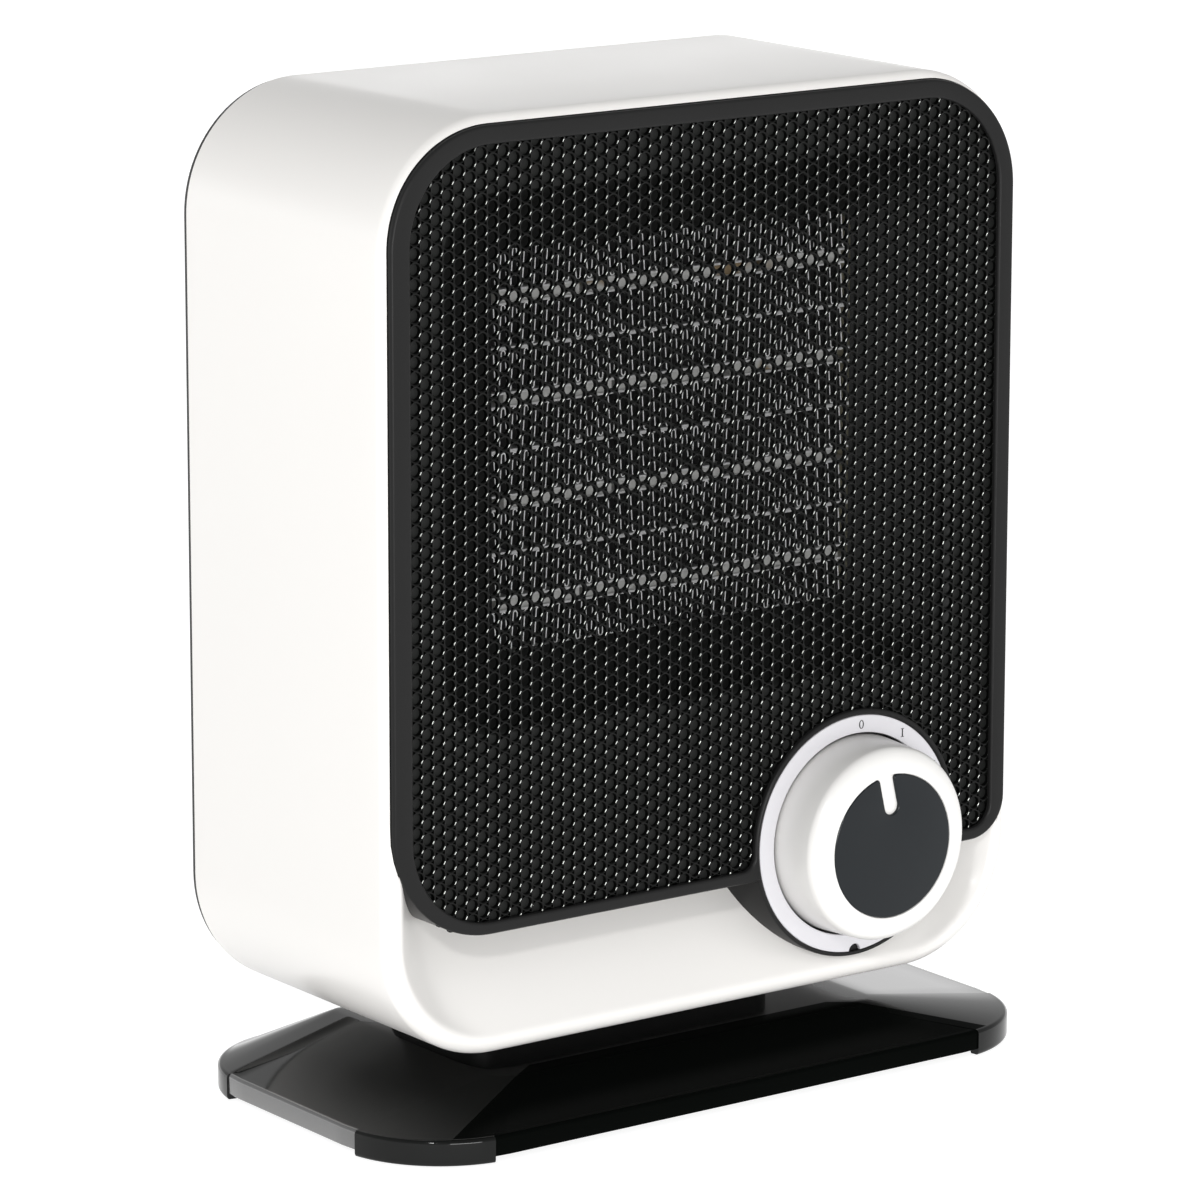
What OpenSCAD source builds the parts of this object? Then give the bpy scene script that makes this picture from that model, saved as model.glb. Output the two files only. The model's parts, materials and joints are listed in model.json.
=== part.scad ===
// Upright ceramic (PTC) fan heater: a rounded white shell on a low black base, with a perforated
// front grille over the heating element, an axial fan behind it and a rotary switch at the lower right.
// The origin is on the floor, under the middle of the base. The front faces -Y and +Z is up.

/* [Body shell] */
// Width of the shell
body_w = 180.5; // [176:0.5:186]
// Depth of the shell, front edge to back edge
body_d = 80; // [78:0.5:84]
// Height of the shell
body_h = 215; // [212:0.5:220]
// Radius of the shell's four corners, seen from the front
body_r = 30; // [27:0.5:32]
// Wall thickness of the shell
wall = 2.6; // [2:0.1:3]
// Rounding of the shell's front edge
edge_r = 3; // [2:0.5:4]
// How far the shell stands behind the middle of the base
body_y = 5; // [3:0.5:5]
// Height of the shell's underside above the floor
body_z = 20.5; // [20:0.5:24]

/* [Front bezel and grille] */
// Width of the black bezel
bezel_w = 177; // [174:0.5:177]
// Height of the bezel's lower edge above the shell's underside
bezel_z0 = 28.7; // [27:0.1:30]
// Height of the bezel's upper edge above the shell's underside
bezel_z1 = 212.9; // [210:0.1:213]
// Radius of the bezel's corners, except the one beside the dial
bezel_r = 26.7; // [24:0.1:28]
// Radius of the bezel's corner beside the dial
bezel_r_dial = 10; // [6:0.5:14]
// How far the bezel stands proud of the shell's front
bezel_proud = 0.8; // [0.4:0.1:1.5]
// Spacing of the grille's holes
hole_pitch = 6.9; // [6.5:0.1:8]
// Diameter of the grille's holes
hole_d = 5.4; // [4:0.1:5.8]

/* [Dial and knob] */
// Distance of the dial's axis from the shell's middle, to the right
dial_x = 43.3; // [40:0.1:45]
// Height of the dial's axis above the shell's underside
dial_z = 35.7; // [34:0.1:38]
// Outer radius of the dial housing
pod_r = 29.7; // [29.2:0.1:30.2]
// Outer radius of the printed dial ring
ring_r = 28.6; // [27:0.1:28.8]
// Radius of the knob at its foot, in the well inside the dial ring
knob_r = 23.9; // [22:0.1:24]
// Length of the knob, of which the first few millimetres are down in the well
knob_len = 16.2; // [14:0.1:16.4]
// Lean of the pointer slot in the face disc, in degrees
slot_lean = 13; // [0:0.5:15]
// Radius of the knob's black face disc
face_r = 17.2; // [15:0.1:18]

/* [Heating element and fan] */
// Width of the element's window
element_w = 104.6; // [100:0.2:106]
// Spacing of the element's rows: a fin band with half of each bar beside it
row_pitch = 11.77; // [11.5:0.01:12]
// Height of the element's middle above the shell's underside
element_z = 135.8; // [134:0.1:137]
// Depth of the element, front to back
element_d = 12; // [10:0.5:13]
// Radius of the fan's blades
fan_r = 46; // [42:0.5:47]
// Number of fan blades
fan_blades = 7; // [5:1:9]

/* [Base] */
// Width of the base
base_w = 188; // [184:0.5:192]
// Depth of the base
base_d = 99; // [98.5:0.5:104]
// Radius of the base's corners
base_r = 28; // [24:0.5:30]
// Height of the rim's upper edge above the floor
rim_z1 = 6.5; // [6:0.1:7.5]
// Height of the rim's lower edge above the floor, between the feet
rim_z0 = 1.6; // [1.4:0.1:2]
// Height of the base's flat top above the floor
base_top = 12.5; // [12:0.1:13.5]

/* [Hidden] */
$fn = 64;

gap = 0.3;                     // running clearance between separate bodies
front = -body_d / 2;           // the shell's front plane, in the shell's own frame
back = body_d / 2;             // the shell's back plane
bezel_front = front - bezel_proud;
lip_t = 1.2;                   // thickness of the bezel's visible lip
side_band = 5.1;               // visible width of the bezel at the sides
top_band = 4.4;
low_band = 2.8;
lip_hidden = 1.6;              // how far the grille reaches behind the lip
grille_t = 1.2;
bezel_depth = 7;
surround_r = pod_r + 0.4;      // the bezel's ring round the dial housing, seen from the front
far = 240;                     // longer than the heater is tall, for cutting solids

// The chin is the white ramp below the bezel. It starts behind the shell's lower rim and leans back.
rim_w = 4.5;                   // width of the shell's rim round the chin
chin_z0 = 5;                   // height at which the ramp starts
chin_y0 = front + 1;           // depth at which it starts
chin_y1 = front + 24;          // depth of the side walls beside it
chin_slope = 36.5;             // lean of the ramp from upright, in degrees
chin_t = 2.2;
chin_top = 37;                 // height at which the ramp ends, behind the bezel

flange_top = bezel_z0 + 12;    // height at which the chin's side walls end

ring_front = front - 0.5;      // front face of the dial ring
ring_t = 1;
ring_in = 24.4;                // inner radius of the dial ring, and of the well that the knob turns in
well_y = front + 2.6;          // floor of the well
pod_wall = 2;                  // thickness of the well's floor, which carries the switch
pod_side = 2.2;                // wall thickness of the dial housing
pod_back = front + 26;         // back end of the dial housing
notch_r = 1.6;                 // index notch at the bottom of the dial ring
knob_foot = well_y - 0.6;      // the knob's foot, clear of the floor
knob_wall = 2.4;
knob_boss_r = 6.2;             // boss inside the knob that holds the shaft
face_t = 0.8;
shaft_r = 3;
grip = 7.5;                    // how far the shaft goes into the knob
slot_w = 4.1;                  // pointer slot in the knob's face disc
slot_end = [-0.3, 9.6];        // centre of the slot's round end, from the knob's axis
slot_run = 12;                 // length of the slot, past the disc's edge

switch_y = well_y + pod_wall;  // front of the switch's body
switch_d = 12.5;               // depth of the switch's body
shaft_seat = switch_y + 3.6;   // back end of the switch's shaft
switch_screw_x = 9.5;          // the switch's screws, each side of its axis

rows = 8;                      // fin bands
element_h = rows * row_pitch;
element_y0 = front + 14;       // front of the element
bar_t = 3.6;                   // thickness of a ceramic row with its contact plates
stone_t = bar_t - 1;           // thickness of the stones alone
plate_t = 0.8;                 // thickness of an electrode plate
fin_pitch = 3.2;
fin_t = 0.4;
holder_t = 5;                  // frame thickness round the element
holder_top = element_z + element_h / 2 + holder_t;
tab_size = [8, 4.8, 0.8];      // push-on tabs of the element's contact plates
cutout_x = 30;                 // place of the thermostat above the element
cutout_r = 5.5;
cutout_h = 6;
fuse_x = -20;                  // left end of the thermal fuse's body
fuse_r = 2;
fuse_len = 11;
lead_len = 10;                 // the fuse's wire leads, past each end
lead_r = 0.5;

fan_y = 3;                     // middle of the impeller
fan_depth = 14;
hub_r = 15;
shroud_y = -7.6;               // front of the fan shroud's plate
motor_y = 17;                  // front of the motor
stack_t = 11;                  // thickness of the stator's laminations
shaft_d = 3.2;
shaft_y1 = 36;                 // back end of the motor's shaft
bracket_t = 2;
bracket_w = 38;
bracket_h = 12;
bush_r = 5.5;                  // bearing bush in the middle of each bracket
motor_screw_x = 14;            // the motor's screws, each side of the shaft
motor_screw_r = 1.5;
rotor_r = 9.6;
stator_w = 48;                 // outside of the stator's C-frame
stator_h = 52;
stator_low = 36;               // from the shaft down to the frame's lower edge
stator_window = [30, 13];      // opening between the rotor and the leg in the coil
leg_h = 9;                     // height of the leg
coil_size = [28, 22.5];        // width and height of the coil
coil_out = 4;                  // how far the coil stands out past the stator, front and back
shroud_t = 2.4;
arm_w = 8;                     // arms that carry the motor
arm_t = 3;
motor_ring_r = 19;             // ring that the arms meet in
stack_y = motor_y + bracket_t; // front of the stator's laminations

cover_edge = 1.2;              // thickness of the rear cover's edge
cover_t = 3;                   // thickness at its raised field
cover_inset = 0.5;             // from the shell's outside to its edge
field_inset = 2.4;             // from its edge to the raised field
slot_step = 6.2;               // spacing of the rear cover's air slots
slot_h = 3.4;                  // height of one slot
slot_field = 52;               // radius of the field of slots
rib_x = 18;                    // upright ribs left standing between the slots
rib_w = 4;
inlet_x = -45;                 // place of the cable inlet
inlet_z = 30;
inlet_r = 6;                   // hole for the cable inlet's grommet
inlet_flange_r = 8;
cord_r = 3.6;                  // bore of the grommet
boss_inset = 13.5;             // from the shell's sides to the screw bosses
cover_head_r = 3;              // heads of the rear cover's screws
cover_head_h = 1.8;
block_at = [-60, 6];           // near left corner of the terminal block
block_size = [24, 18, 12];
block_pitch = 8;               // spacing of its three terminals

top_x = 55;                    // half width of the base's flat top
top_y0 = -29;                  // its front edge
top_y1 = 40;                   // its back edge
skin = 2.4;                    // wall thickness of the base cover
foot_x = base_w / 2 - 18;
foot_y = base_d / 2 - 18;
drop_x = 68.3;                 // the rim's corners reach lower outside this distance to the side
drop_y = 23.5;                 // and outside this distance to the front or back
drop_z = 0.3;                  // height of the corners' lower edge
pad_r = 7;
base_screw_x = 66;
base_screw_y = 30;
neck_x = 46;                   // half width of the neck
neck_y0 = -3;
neck_y1 = 34;
neck_r = 8;
neck_screw_x = 30;
neck_screw_y = 16;
neck_head_r = 3.6;
neck_head_h = 2.2;
weight_size = [100, 40, 4];
weight_y = -8;                 // front of the steel slab
tilt_size = [20, 12, 6];       // body of the tilt switch
collar_t = 1.2;
collar_w = 1.5;                // how far the plunger's collar stands out
plunger_r = 2.7;
plunger_y = -18;
plunger_travel = 3;
collar_z = rim_z0 + 2 + plunger_travel + 0.1;

// Half section of the knob: a slightly tapered side, then a round shoulder up to the face disc.
shoulder_h = 3.6;
shoulder_x = face_r + 0.4;
shoulder_w = knob_r - 0.6 - shoulder_x;
knob_profile = concat([[0, 0], [knob_r, 0]],
    [for (a = [0:15:90]) [shoulder_x + shoulder_w * cos(a), knob_len - shoulder_h * (1 - sin(a))]],
    [[0, knob_len]]);

// ---- helpers -------------------------------------------------------------------------------

// Places its children in the shell's own frame: X to the right, Y to the back, Z from the underside.
module in_body() {
    translate([0, body_y, body_z]) children();
}

// Extrudes an outline drawn in X and Z from y0 back to y1.
module slab(y0, y1) {
    translate([0, y1, 0]) rotate([90, 0, 0]) linear_extrude(y1 - y0) children();
}

// Places its children with their +Z along -Y, starting at the point [x, y, z].
module facing_front(x, y, z) {
    translate([x, y, z]) rotate([90, 0, 0]) children();
}

// One corner cut: what a round corner of radius r takes off a square one.
module corner_cut(r) {
    difference() {
        translate([-1, -1]) square(r + 1);
        translate([r, r]) circle(r);
        translate([0, r]) square([r + 1, 1]);
        translate([r, 0]) square([1, r + 1]);
    }
}

// Rectangle from [x0, z0] to [x1, z1] with round corners: upper left, upper right, lower left, lower right.
module round_rect(x0, x1, z0, z1, ul, ur, ll, lr) {
    difference() {
        translate([x0, z0]) square([x1 - x0, z1 - z0]);
        translate([x0, z1]) rotate(-90) corner_cut(ul);
        translate([x1, z1]) rotate(180) corner_cut(ur);
        translate([x0, z0]) corner_cut(ll);
        translate([x1, z0]) rotate(90) corner_cut(lr);
    }
}

// The shell's front outline, moved inwards by d.
module body_outline(d) {
    r = body_r - d;
    round_rect(-body_w / 2 + d, body_w / 2 - d, d, body_h - d, r, r, r, r);
}

// The bezel's outline, moved inwards by d.
module bezel_outline(d) {
    r = bezel_r - d;
    lr = bezel_r_dial - d;
    round_rect(-bezel_w / 2 + d, bezel_w / 2 - d, bezel_z0 + d, bezel_z1 - d, r, r, r, lr);
}

// The grille's outline: what shows through the bezel, grown by g all round.
module grille_outline(g) {
    r = bezel_r - side_band + g;
    x = bezel_w / 2 - side_band + g;
    difference() {
        round_rect(-x, x, bezel_z0 + low_band - g, bezel_z1 - top_band + g, r, r, r, 4 + g);
        translate([dial_x, dial_z]) circle(surround_r - 0.2 * g);
    }
}

// Everything in front of the ramp's face, as a solid that the chin's parts are cut with.
module before_ramp() {
    translate([0, chin_y0, chin_z0]) rotate([-chin_slope, 0, 0])
        translate([-far / 2, -far, -far / 2]) cube(far);
}

// Everything behind the ramp's face.
module behind_ramp() {
    translate([0, chin_y0, chin_z0]) rotate([-chin_slope, 0, 0])
        translate([-far / 2, 0, -far / 2]) cube(far);
}

// Everything above the height z.
module above(z) {
    translate([-far / 2, -far / 2, z]) cube(far);
}

// ---- shell, bezel and grille ----------------------------------------------------------------

// One rounded corner of the shell's outer form, standing along Y.
module shell_corner() {
    rotate([90, 0, 0]) rotate_extrude($fn = 64) {
        square([body_r - edge_r, body_d]);
        square([body_r, body_d - edge_r]);
        translate([body_r - edge_r, body_d - edge_r]) circle(edge_r, $fn = 24);
    }
}

module shell_solid() {
    hull()
        for (x = [-1, 1], z = [body_r, body_h - body_r])
            translate([x * (body_w / 2 - body_r), back, z]) shell_corner();
}

// Screw bosses for the rear cover, in the shell's corners.
module boss_places() {
    for (x = [-1, 1], z = [boss_inset, body_h - boss_inset])
        translate([x * (body_w / 2 - boss_inset), 0, z]) children();
}

module shell() {
    color("whitesmoke") in_body() {
        difference() {
            shell_solid();
            slab(front + 10, back + 1) body_outline(wall);
            slab(front - 1, front + 11) bezel_outline(-0.2);
            difference() {
                slab(front - 1, front + 11) body_outline(rim_w);
                above(flange_top);
            }
            translate([0, -body_y, -1]) neck_screw_places() cylinder(h = wall + 2, r = 1.7);
        }
        chin();
        chin_cheeks();
        neck_bosses();
        difference() {
            intersection() {
                boss_places() facing_front(0, back, 0) cylinder(h = 26, r = 4.2);
                slab(front, back) body_outline(wall - 0.6);
            }
            boss_places() facing_front(0, back, 0) cylinder(h = 16, r = 1.4);
        }
    }
}

// The chin's side walls, behind the shell's rim.
module chin_cheeks() {
    difference() {
        slab(front + 9, chin_y1) difference() {
            body_outline(wall - 0.4);
            body_outline(rim_w);
        }
        above(flange_top);
    }
}

// Bosses on the shell's floor for the screws that come up through the neck.
module neck_bosses() {
    translate([0, -body_y, 0]) neck_screw_places() difference() {
        cylinder(h = 11, r = 4);
        translate([0, 0, -1]) cylinder(h = 11, r = 1.7);
    }
}

// The white ramp, which closes the shell's front below the bezel.
module chin() {
    difference() {
        slab(front + 0.4, back - 20) body_outline(wall - 0.4);
        above(chin_top);
        before_ramp();
        translate([0, chin_t, 0]) behind_ramp();
        facing_front(dial_x, back, dial_z) cylinder(h = body_d, r = pod_r - pod_side - 0.2);
    }
}

module front_bezel() {
    color("dimgray") in_body() {
        difference() {
            slab(bezel_front, bezel_front + bezel_depth) bezel_outline(0);
            slab(bezel_front - 1, bezel_front + lip_t) grille_outline(0);
            slab(bezel_front + lip_t, bezel_front + bezel_depth + 1) grille_outline(lip_hidden);
            facing_front(dial_x, front + 20, dial_z) cylinder(h = 30, r = pod_r - 1);
        }
        lower_flange();
        dial_pod();
    }
}

// The bezel's lower wall runs back to the ramp, so that no air leaves below the grille.
module lower_flange() {
    difference() {
        slab(bezel_front + bezel_depth, chin_y1) intersection() {
            difference() {
                bezel_outline(0);
                bezel_outline(2.2);
            }
            body_outline(rim_w + 0.1);
        }
        above(flange_top + 2);
        behind_ramp();
        facing_front(dial_x, front + 30, dial_z) cylinder(h = 50, r = pod_r - 1);
    }
}

// The housing of the dial: a deep tube that stands on the ramp, closed in front by the floor of a round
// well that the knob turns in. The dial ring lies on a ledge round the well.
module dial_pod() {
    difference() {
        facing_front(dial_x, pod_back, dial_z) cylinder(h = pod_back - ring_front, r = pod_r);
        facing_front(dial_x, pod_back + 1, dial_z)
            cylinder(h = pod_back + 1 - switch_y, r = pod_r - pod_side);
        facing_front(dial_x, ring_front + ring_t, dial_z) cylinder(h = 5, r = ring_r + 0.1);
        facing_front(dial_x, well_y, dial_z) cylinder(h = 8, r = ring_in + 0.1);
        facing_front(dial_x, pod_back, dial_z) cylinder(h = 40, r = 5.2);
        in_dial() switch_screw_places() facing_front(0, pod_back, 0) cylinder(h = 40, r = 1.6);
        behind_ramp();
    }
}

module grille() {
    color([0.1, 0.1, 0.1]) in_body()
        slab(bezel_front + lip_t, bezel_front + lip_t + grille_t) difference() {
            grille_outline(lip_hidden - 0.2);
            grille_holes();
        }
}

// Round holes in staggered columns, kept inside the visible outline.
module grille_holes() {
    column_step = hole_pitch * sqrt(3) / 2;
    columns = floor((bezel_w / 2 - side_band - hole_d / 2) / column_step);
    for (i = [-columns:columns]) {
        shift = (i % 2 == 0) ? 0 : hole_pitch / 2;
        for (j = [0:30]) {
            x = i * column_step;
            z = bezel_z0 + 6 + shift + j * hole_pitch;
            if (hole_fits(x, z)) translate([x, z]) circle(d = hole_d);
        }
    }
}

// True where a whole hole lies inside the visible grille.
function hole_fits(x, z) =
    let (m = hole_d / 2 + 0.8,
         r = bezel_r - side_band,
         hx = bezel_w / 2 - side_band,
         z0 = bezel_z0 + low_band,
         z1 = bezel_z1 - top_band,
         cx = max(0, abs(x) - (hx - r)),
         cz = max(0, z - (z1 - r), (z0 + r) - z))
    z > z0 + m && z < z1 - m && abs(x) < hx - m
    && (cx * cx + cz * cz < (r - m) * (r - m) || (x > 0 && z < z0 + r && x < hx - m))
    && norm([x - dial_x, z - dial_z]) > surround_r + m;

// ---- air duct and heating element -------------------------------------------------------------

duct_y = bezel_front + lip_t + grille_t;
duct_w = 146;
duct_h = 123;

// The black plate behind the grille, with a funnel down to the element's window.
module front_duct() {
    color([0.06, 0.06, 0.06]) in_body()
        difference() {
            union() {
                slab(duct_y, duct_y + 2) grille_outline(lip_hidden - 0.2);
                hull() {
                    slab(duct_y + 1, duct_y + 2) duct_mouth(2);
                    slab(element_y0 - 2, element_y0) duct_throat(2);
                }
            }
            hull() {
                slab(duct_y - 0.01, duct_y) duct_mouth(0);
                slab(element_y0, element_y0 + 0.01) duct_throat(0);
            }
        }
}

module duct_mouth(g) {
    x = duct_w / 2 + g;
    z = duct_h / 2 + g;
    round_rect(-x, x, element_z - z, element_z + z, 14, 14, 14, 14);
}

module duct_throat(g) {
    x = element_w / 2 - 1 + g;
    z = element_h / 2 - 1 + g;
    round_rect(-x, x, element_z - z, element_z + z, 5, 5, 5, 5);
}

module element_outline(g) {
    x = element_w / 2 + g;
    z = element_h / 2 + g;
    round_rect(-x, x, element_z - z, element_z + z, 2, 2, 2, 2);
}

// Heat-proof frame that clamps the element between the duct and the fan shroud.
module element_holder() {
    color("ivory") in_body()
        difference() {
            slab(element_y0, shroud_y) element_outline(holder_t);
            slab(element_y0 - 1, shroud_y + 1) translate([0, element_z])
                square([element_w + 0.2, element_h + 0.2], center = true);
        }
}

// Height of the middle of ceramic row i, 0 at the bottom.
function row_z(i) = element_z - element_h / 2 + row_pitch * (2 * i + 1);

module ceramic_stones() {
    color("lightgray") in_body()
        for (i = [0:3]) {
            outer = (i == 0 || i == 3);
            count = outer ? 4 : 3;
            step = outer ? (element_w - 4) / 4 : (element_w - 8) / 3;
            for (k = [0:count - 1])
                translate([(k - count / 2) * step + 1, element_y0 + 1, row_z(i) - stone_t / 2])
                    cube([step - 2, element_d - 2, stone_t]);
        }
}

// Thin contact plates: two on each ceramic row, one between fin bands, one at the top and the bottom.
module electrode_plates() {
    color("gainsboro") in_body() {
        for (i = [0:3], s = [-1, 1])
            plate(row_z(i) + s * (bar_t / 2 - 0.25), 0.5);
        for (i = [1:3])
            plate(element_z - element_h / 2 + 2 * i * row_pitch, plate_t);
        plate(element_z - element_h / 2 + plate_t / 2, plate_t);
        plate(element_z + element_h / 2 - plate_t / 2, plate_t);
    }
}

module plate(z, t) {
    translate([-element_w / 2, element_y0, z - t / 2]) cube([element_w, element_d, t]);
}

// Height and middle of fin band b: each lies between a ceramic row and a plate.
fin_h = row_pitch - bar_t / 2 - plate_t / 2;
function fin_z(b) =
    let (i = floor(b / 2), up = b % 2)
    row_z(i) + (up ? 1 : -1) * (bar_t / 2 + fin_h / 2);

// The top and bottom bands give up half a plate to the outer plates.
module heating_fins() {
    count = floor((element_w - 2) / fin_pitch);
    color("silver") in_body()
        for (b = [0:rows - 1]) {
            h = (b == 0 || b == rows - 1) ? fin_h - plate_t / 2 : fin_h;
            z = fin_z(b) + (b == 0 ? plate_t / 4 : (b == rows - 1 ? -plate_t / 4 : 0));
            for (k = [0:count])
                translate([(k - count / 2) * fin_pitch - fin_t / 2, element_y0 + 0.5, z - h / 2])
                    cube([fin_t, element_d - 1, h]);
        }
}

// Tabs on the ends of the contact plates, where the leads push on.
module element_terminals() {
    color("goldenrod") in_body()
        for (i = [0:3])
            translate([element_w / 2 + holder_t, element_y0 + 4, row_z(i) + 1.4]) cube(tab_size);
}

// Bimetal disc thermostat on a bracket above the element.
module thermal_cutout() {
    color("darkgray") in_body()
        translate([cutout_x, element_y0 + 6, holder_top]) {
            cylinder(h = cutout_h, r = cutout_r);
            translate([-9, -3, 0]) cube([18, 6, 0.8]);
            for (s = [-1, 1])
                translate([s * 3 - 0.4, -2.4, cutout_h - 1]) cube([0.8, 4.8, 7]);
        }
}

// One-shot fuse, lying on the holder in two clips that its leads pass through.
module thermal_fuse() {
    clip = fuse_r + 0.2;
    color("peru") in_body()
        translate([fuse_x, element_y0 + 6, holder_top + clip]) rotate([0, 90, 0]) {
            cylinder(h = fuse_len, r = fuse_r);
            translate([0, 0, -lead_len]) cylinder(h = fuse_len + 2 * lead_len, r = lead_r);
            for (z = [-7, fuse_len + 5]) translate([-clip, -2, z]) cube([2 * clip, 4, 3]);
        }
}

// ---- fan and motor ------------------------------------------------------------------------------

// Square plate with a round throat for the blades, and three arms to the motor at the back.
module fan_shroud() {
    color([0.12, 0.12, 0.13]) in_body() {
        difference() {
            union() {
                slab(shroud_y, shroud_y + shroud_t) element_outline(holder_t + 6);
                facing_front(0, motor_y, element_z) cylinder(h = motor_y - shroud_y - 1, r = fan_r + 4);
            }
            facing_front(0, back, element_z) cylinder(h = body_d, r = fan_r + 1.6);
        }
        difference() {
            for (a = [90, 210, 330])
                facing_front(0, motor_y, element_z) rotate([0, 0, a])
                    translate([14, -arm_w / 2, 0]) cube([fan_r - 11, arm_w, arm_t]);
            motor_screw_places() facing_front(0, motor_y + 1, 0) cylinder(h = 6, r = motor_screw_r + 0.2);
        }
        difference() {
            facing_front(0, motor_y, element_z) cylinder(h = arm_t, r = motor_ring_r);
            facing_front(0, motor_y + 1, element_z) cylinder(h = 5, r = bush_r + 3);
            motor_screw_places() facing_front(0, motor_y + 1, 0) cylinder(h = 6, r = motor_screw_r + 0.2);
        }
    }
}

// Screws through the motor's brackets, one each side of the shaft.
module motor_screw_places() {
    for (s = [-1, 1]) translate([s * motor_screw_x, 0, element_z]) children();
}

module fan_impeller() {
    color([0.2, 0.2, 0.22]) in_body()
        facing_front(0, fan_y + fan_depth / 2, element_z) {
            difference() {
                cylinder(h = fan_depth, r = hub_r);
                translate([0, 0, -1]) cylinder(h = fan_depth - 1, r = hub_r - 2);
            }
            difference() {
                cylinder(h = fan_depth - 1, r = 4);
                translate([0, 0, -1]) cylinder(h = fan_depth - 1, r = shaft_d / 2);
            }
            intersection() {
                for (i = [0:fan_blades - 1])
                    rotate([0, 0, i * 360 / fan_blades])
                        translate([hub_r - 1, 0, fan_depth / 2]) rotate([35, 0, 0])
                            translate([0, -12, -0.8]) cube([fan_r - hub_r + 1, 24, 1.6]);
                difference() {
                    cylinder(h = fan_depth, r = fan_r);
                    translate([0, 0, -1]) cylinder(h = fan_depth + 2, r = hub_r - 0.5);
                }
            }
        }
}

module motor_shaft() {
    color("silver") in_body()
        facing_front(0, shaft_y1, element_z)
            cylinder(h = shaft_y1 - fan_y - fan_depth / 2 + 12, r = shaft_d / 2);
}

module motor_rotor() {
    color("slategray") in_body()
        facing_front(0, stack_y + stack_t, element_z)
            difference() {
                cylinder(h = stack_t, r = rotor_r);
                translate([0, 0, -1]) cylinder(h = stack_t + 2, r = shaft_d / 2);
            }
}

// Laminated C-frame round the rotor, with a leg below that passes through the coil.
module motor_stator() {
    color("dimgray") in_body()
        slab(stack_y, stack_y + stack_t) translate([0, element_z]) difference() {
            translate([-stator_w / 2, -stator_low]) square([stator_w, stator_h]);
            circle(rotor_r + 0.5);
            translate([-stator_window.x / 2, leg_h - stator_low]) square(stator_window);
            for (s = [-1, 1]) translate([s * motor_screw_x, 0]) circle(motor_screw_r + 0.2);
        }
}

module motor_coil() {
    color("chocolate") in_body()
        translate([-coil_size.x / 2, stack_y - coil_out, element_z - stator_low - 7]) difference() {
            cube([coil_size.x, stack_t + 2 * coil_out, coil_size.y]);
            translate([-1, coil_out - 0.1, 7 - 0.1]) cube([coil_size.x + 2, stack_t + 0.2, leg_h + 0.2]);
        }
}

// Front and back bearing brackets, each with a bush in its middle.
module motor_brackets() {
    color("gainsboro") in_body() {
        bearing_bracket(motor_y, motor_y - 3);
        bearing_bracket(stack_y + stack_t, stack_y + stack_t);
    }
}

// A bracket with its front face at y and its bush from bush_y back.
module bearing_bracket(y, bush_y) {
    difference() {
        union() {
            slab(y, y + bracket_t) translate([0, element_z]) square([bracket_w, bracket_h], center = true);
            slab(bush_y, bush_y + 4) translate([0, element_z]) circle(bush_r);
        }
        facing_front(0, y + 6, element_z) cylinder(h = 14, r = shaft_d / 2 + 0.05);
        motor_screw_places() facing_front(0, y + 6, 0) cylinder(h = 14, r = motor_screw_r + 0.1);
    }
}

module motor_screws() {
    head_y = stack_y + stack_t + bracket_t;
    color("silver") in_body()
        motor_screw_places() {
            facing_front(0, head_y, 0) cylinder(h = head_y - motor_y + arm_t, r = motor_screw_r);
            facing_front(0, head_y + 2.2, 0) cylinder(h = 2.2, r = 2.8);
        }
}

// ---- rear cover -----------------------------------------------------------------------------------

module rear_cover() {
    color([0.07, 0.07, 0.08]) in_body()
        difference() {
            union() {
                slab(back, back + cover_edge) cover_outline(0);
                slab(back + cover_edge, back + cover_t) cover_outline(field_inset);
                slab(back - 4, back) difference() {
                    body_outline(wall + gap);
                    body_outline(wall + gap + 1.8);
                }
            }
            air_slots();
            boss_places() facing_front(0, back + 9, 0) cylinder(h = 20, r = 1.8);
            boss_places() facing_front(0, back + cover_t + 1, 0)
                cylinder(h = cover_head_h + 1, r = cover_head_r + 0.4);
            boss_places() facing_front(0, back, 0) cylinder(h = 10, r = 5);
            facing_front(inlet_x, back + 9, inlet_z) cylinder(h = 20, r = inlet_r);
        }
}

// The rear cover's outline, which follows the shell's, moved inwards by d.
module cover_outline(d) {
    body_outline(cover_inset + d);
}

// Level slots in a round field behind the fan, with two upright ribs left standing.
module air_slots() {
    difference() {
        intersection() {
            for (k = [-8:8])
                translate([-60, back - 1, element_z + k * slot_step - slot_h / 2])
                    cube([120, cover_t + 2, slot_h]);
            facing_front(0, back + cover_t + 1, element_z) cylinder(h = cover_t + 3, r = slot_field);
        }
        for (x = [-rib_x, rib_x])
            translate([x - rib_w / 2, back - 2, 0]) cube([rib_w, cover_t + 4, body_h]);
    }
}

module rear_cover_screws() {
    color("silver") in_body()
        boss_places() {
            facing_front(0, back + cover_t - cover_head_h, 0) cylinder(h = 14, r = 1.35);
            facing_front(0, back + cover_t, 0) cylinder(h = cover_head_h, r = cover_head_r);
        }
}

// Grommet where the mains lead goes in.
module cable_inlet() {
    color([0.05, 0.05, 0.05]) in_body()
        facing_front(inlet_x, back + cover_t + 1.4, inlet_z)
            difference() {
                union() {
                    cylinder(h = 1.4, r = inlet_flange_r);
                    cylinder(h = cover_t + 4, r = inlet_r - 0.1);
                }
                translate([0, 0, -1]) cylinder(h = cover_t + 8, r = cord_r);
            }
}

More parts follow.
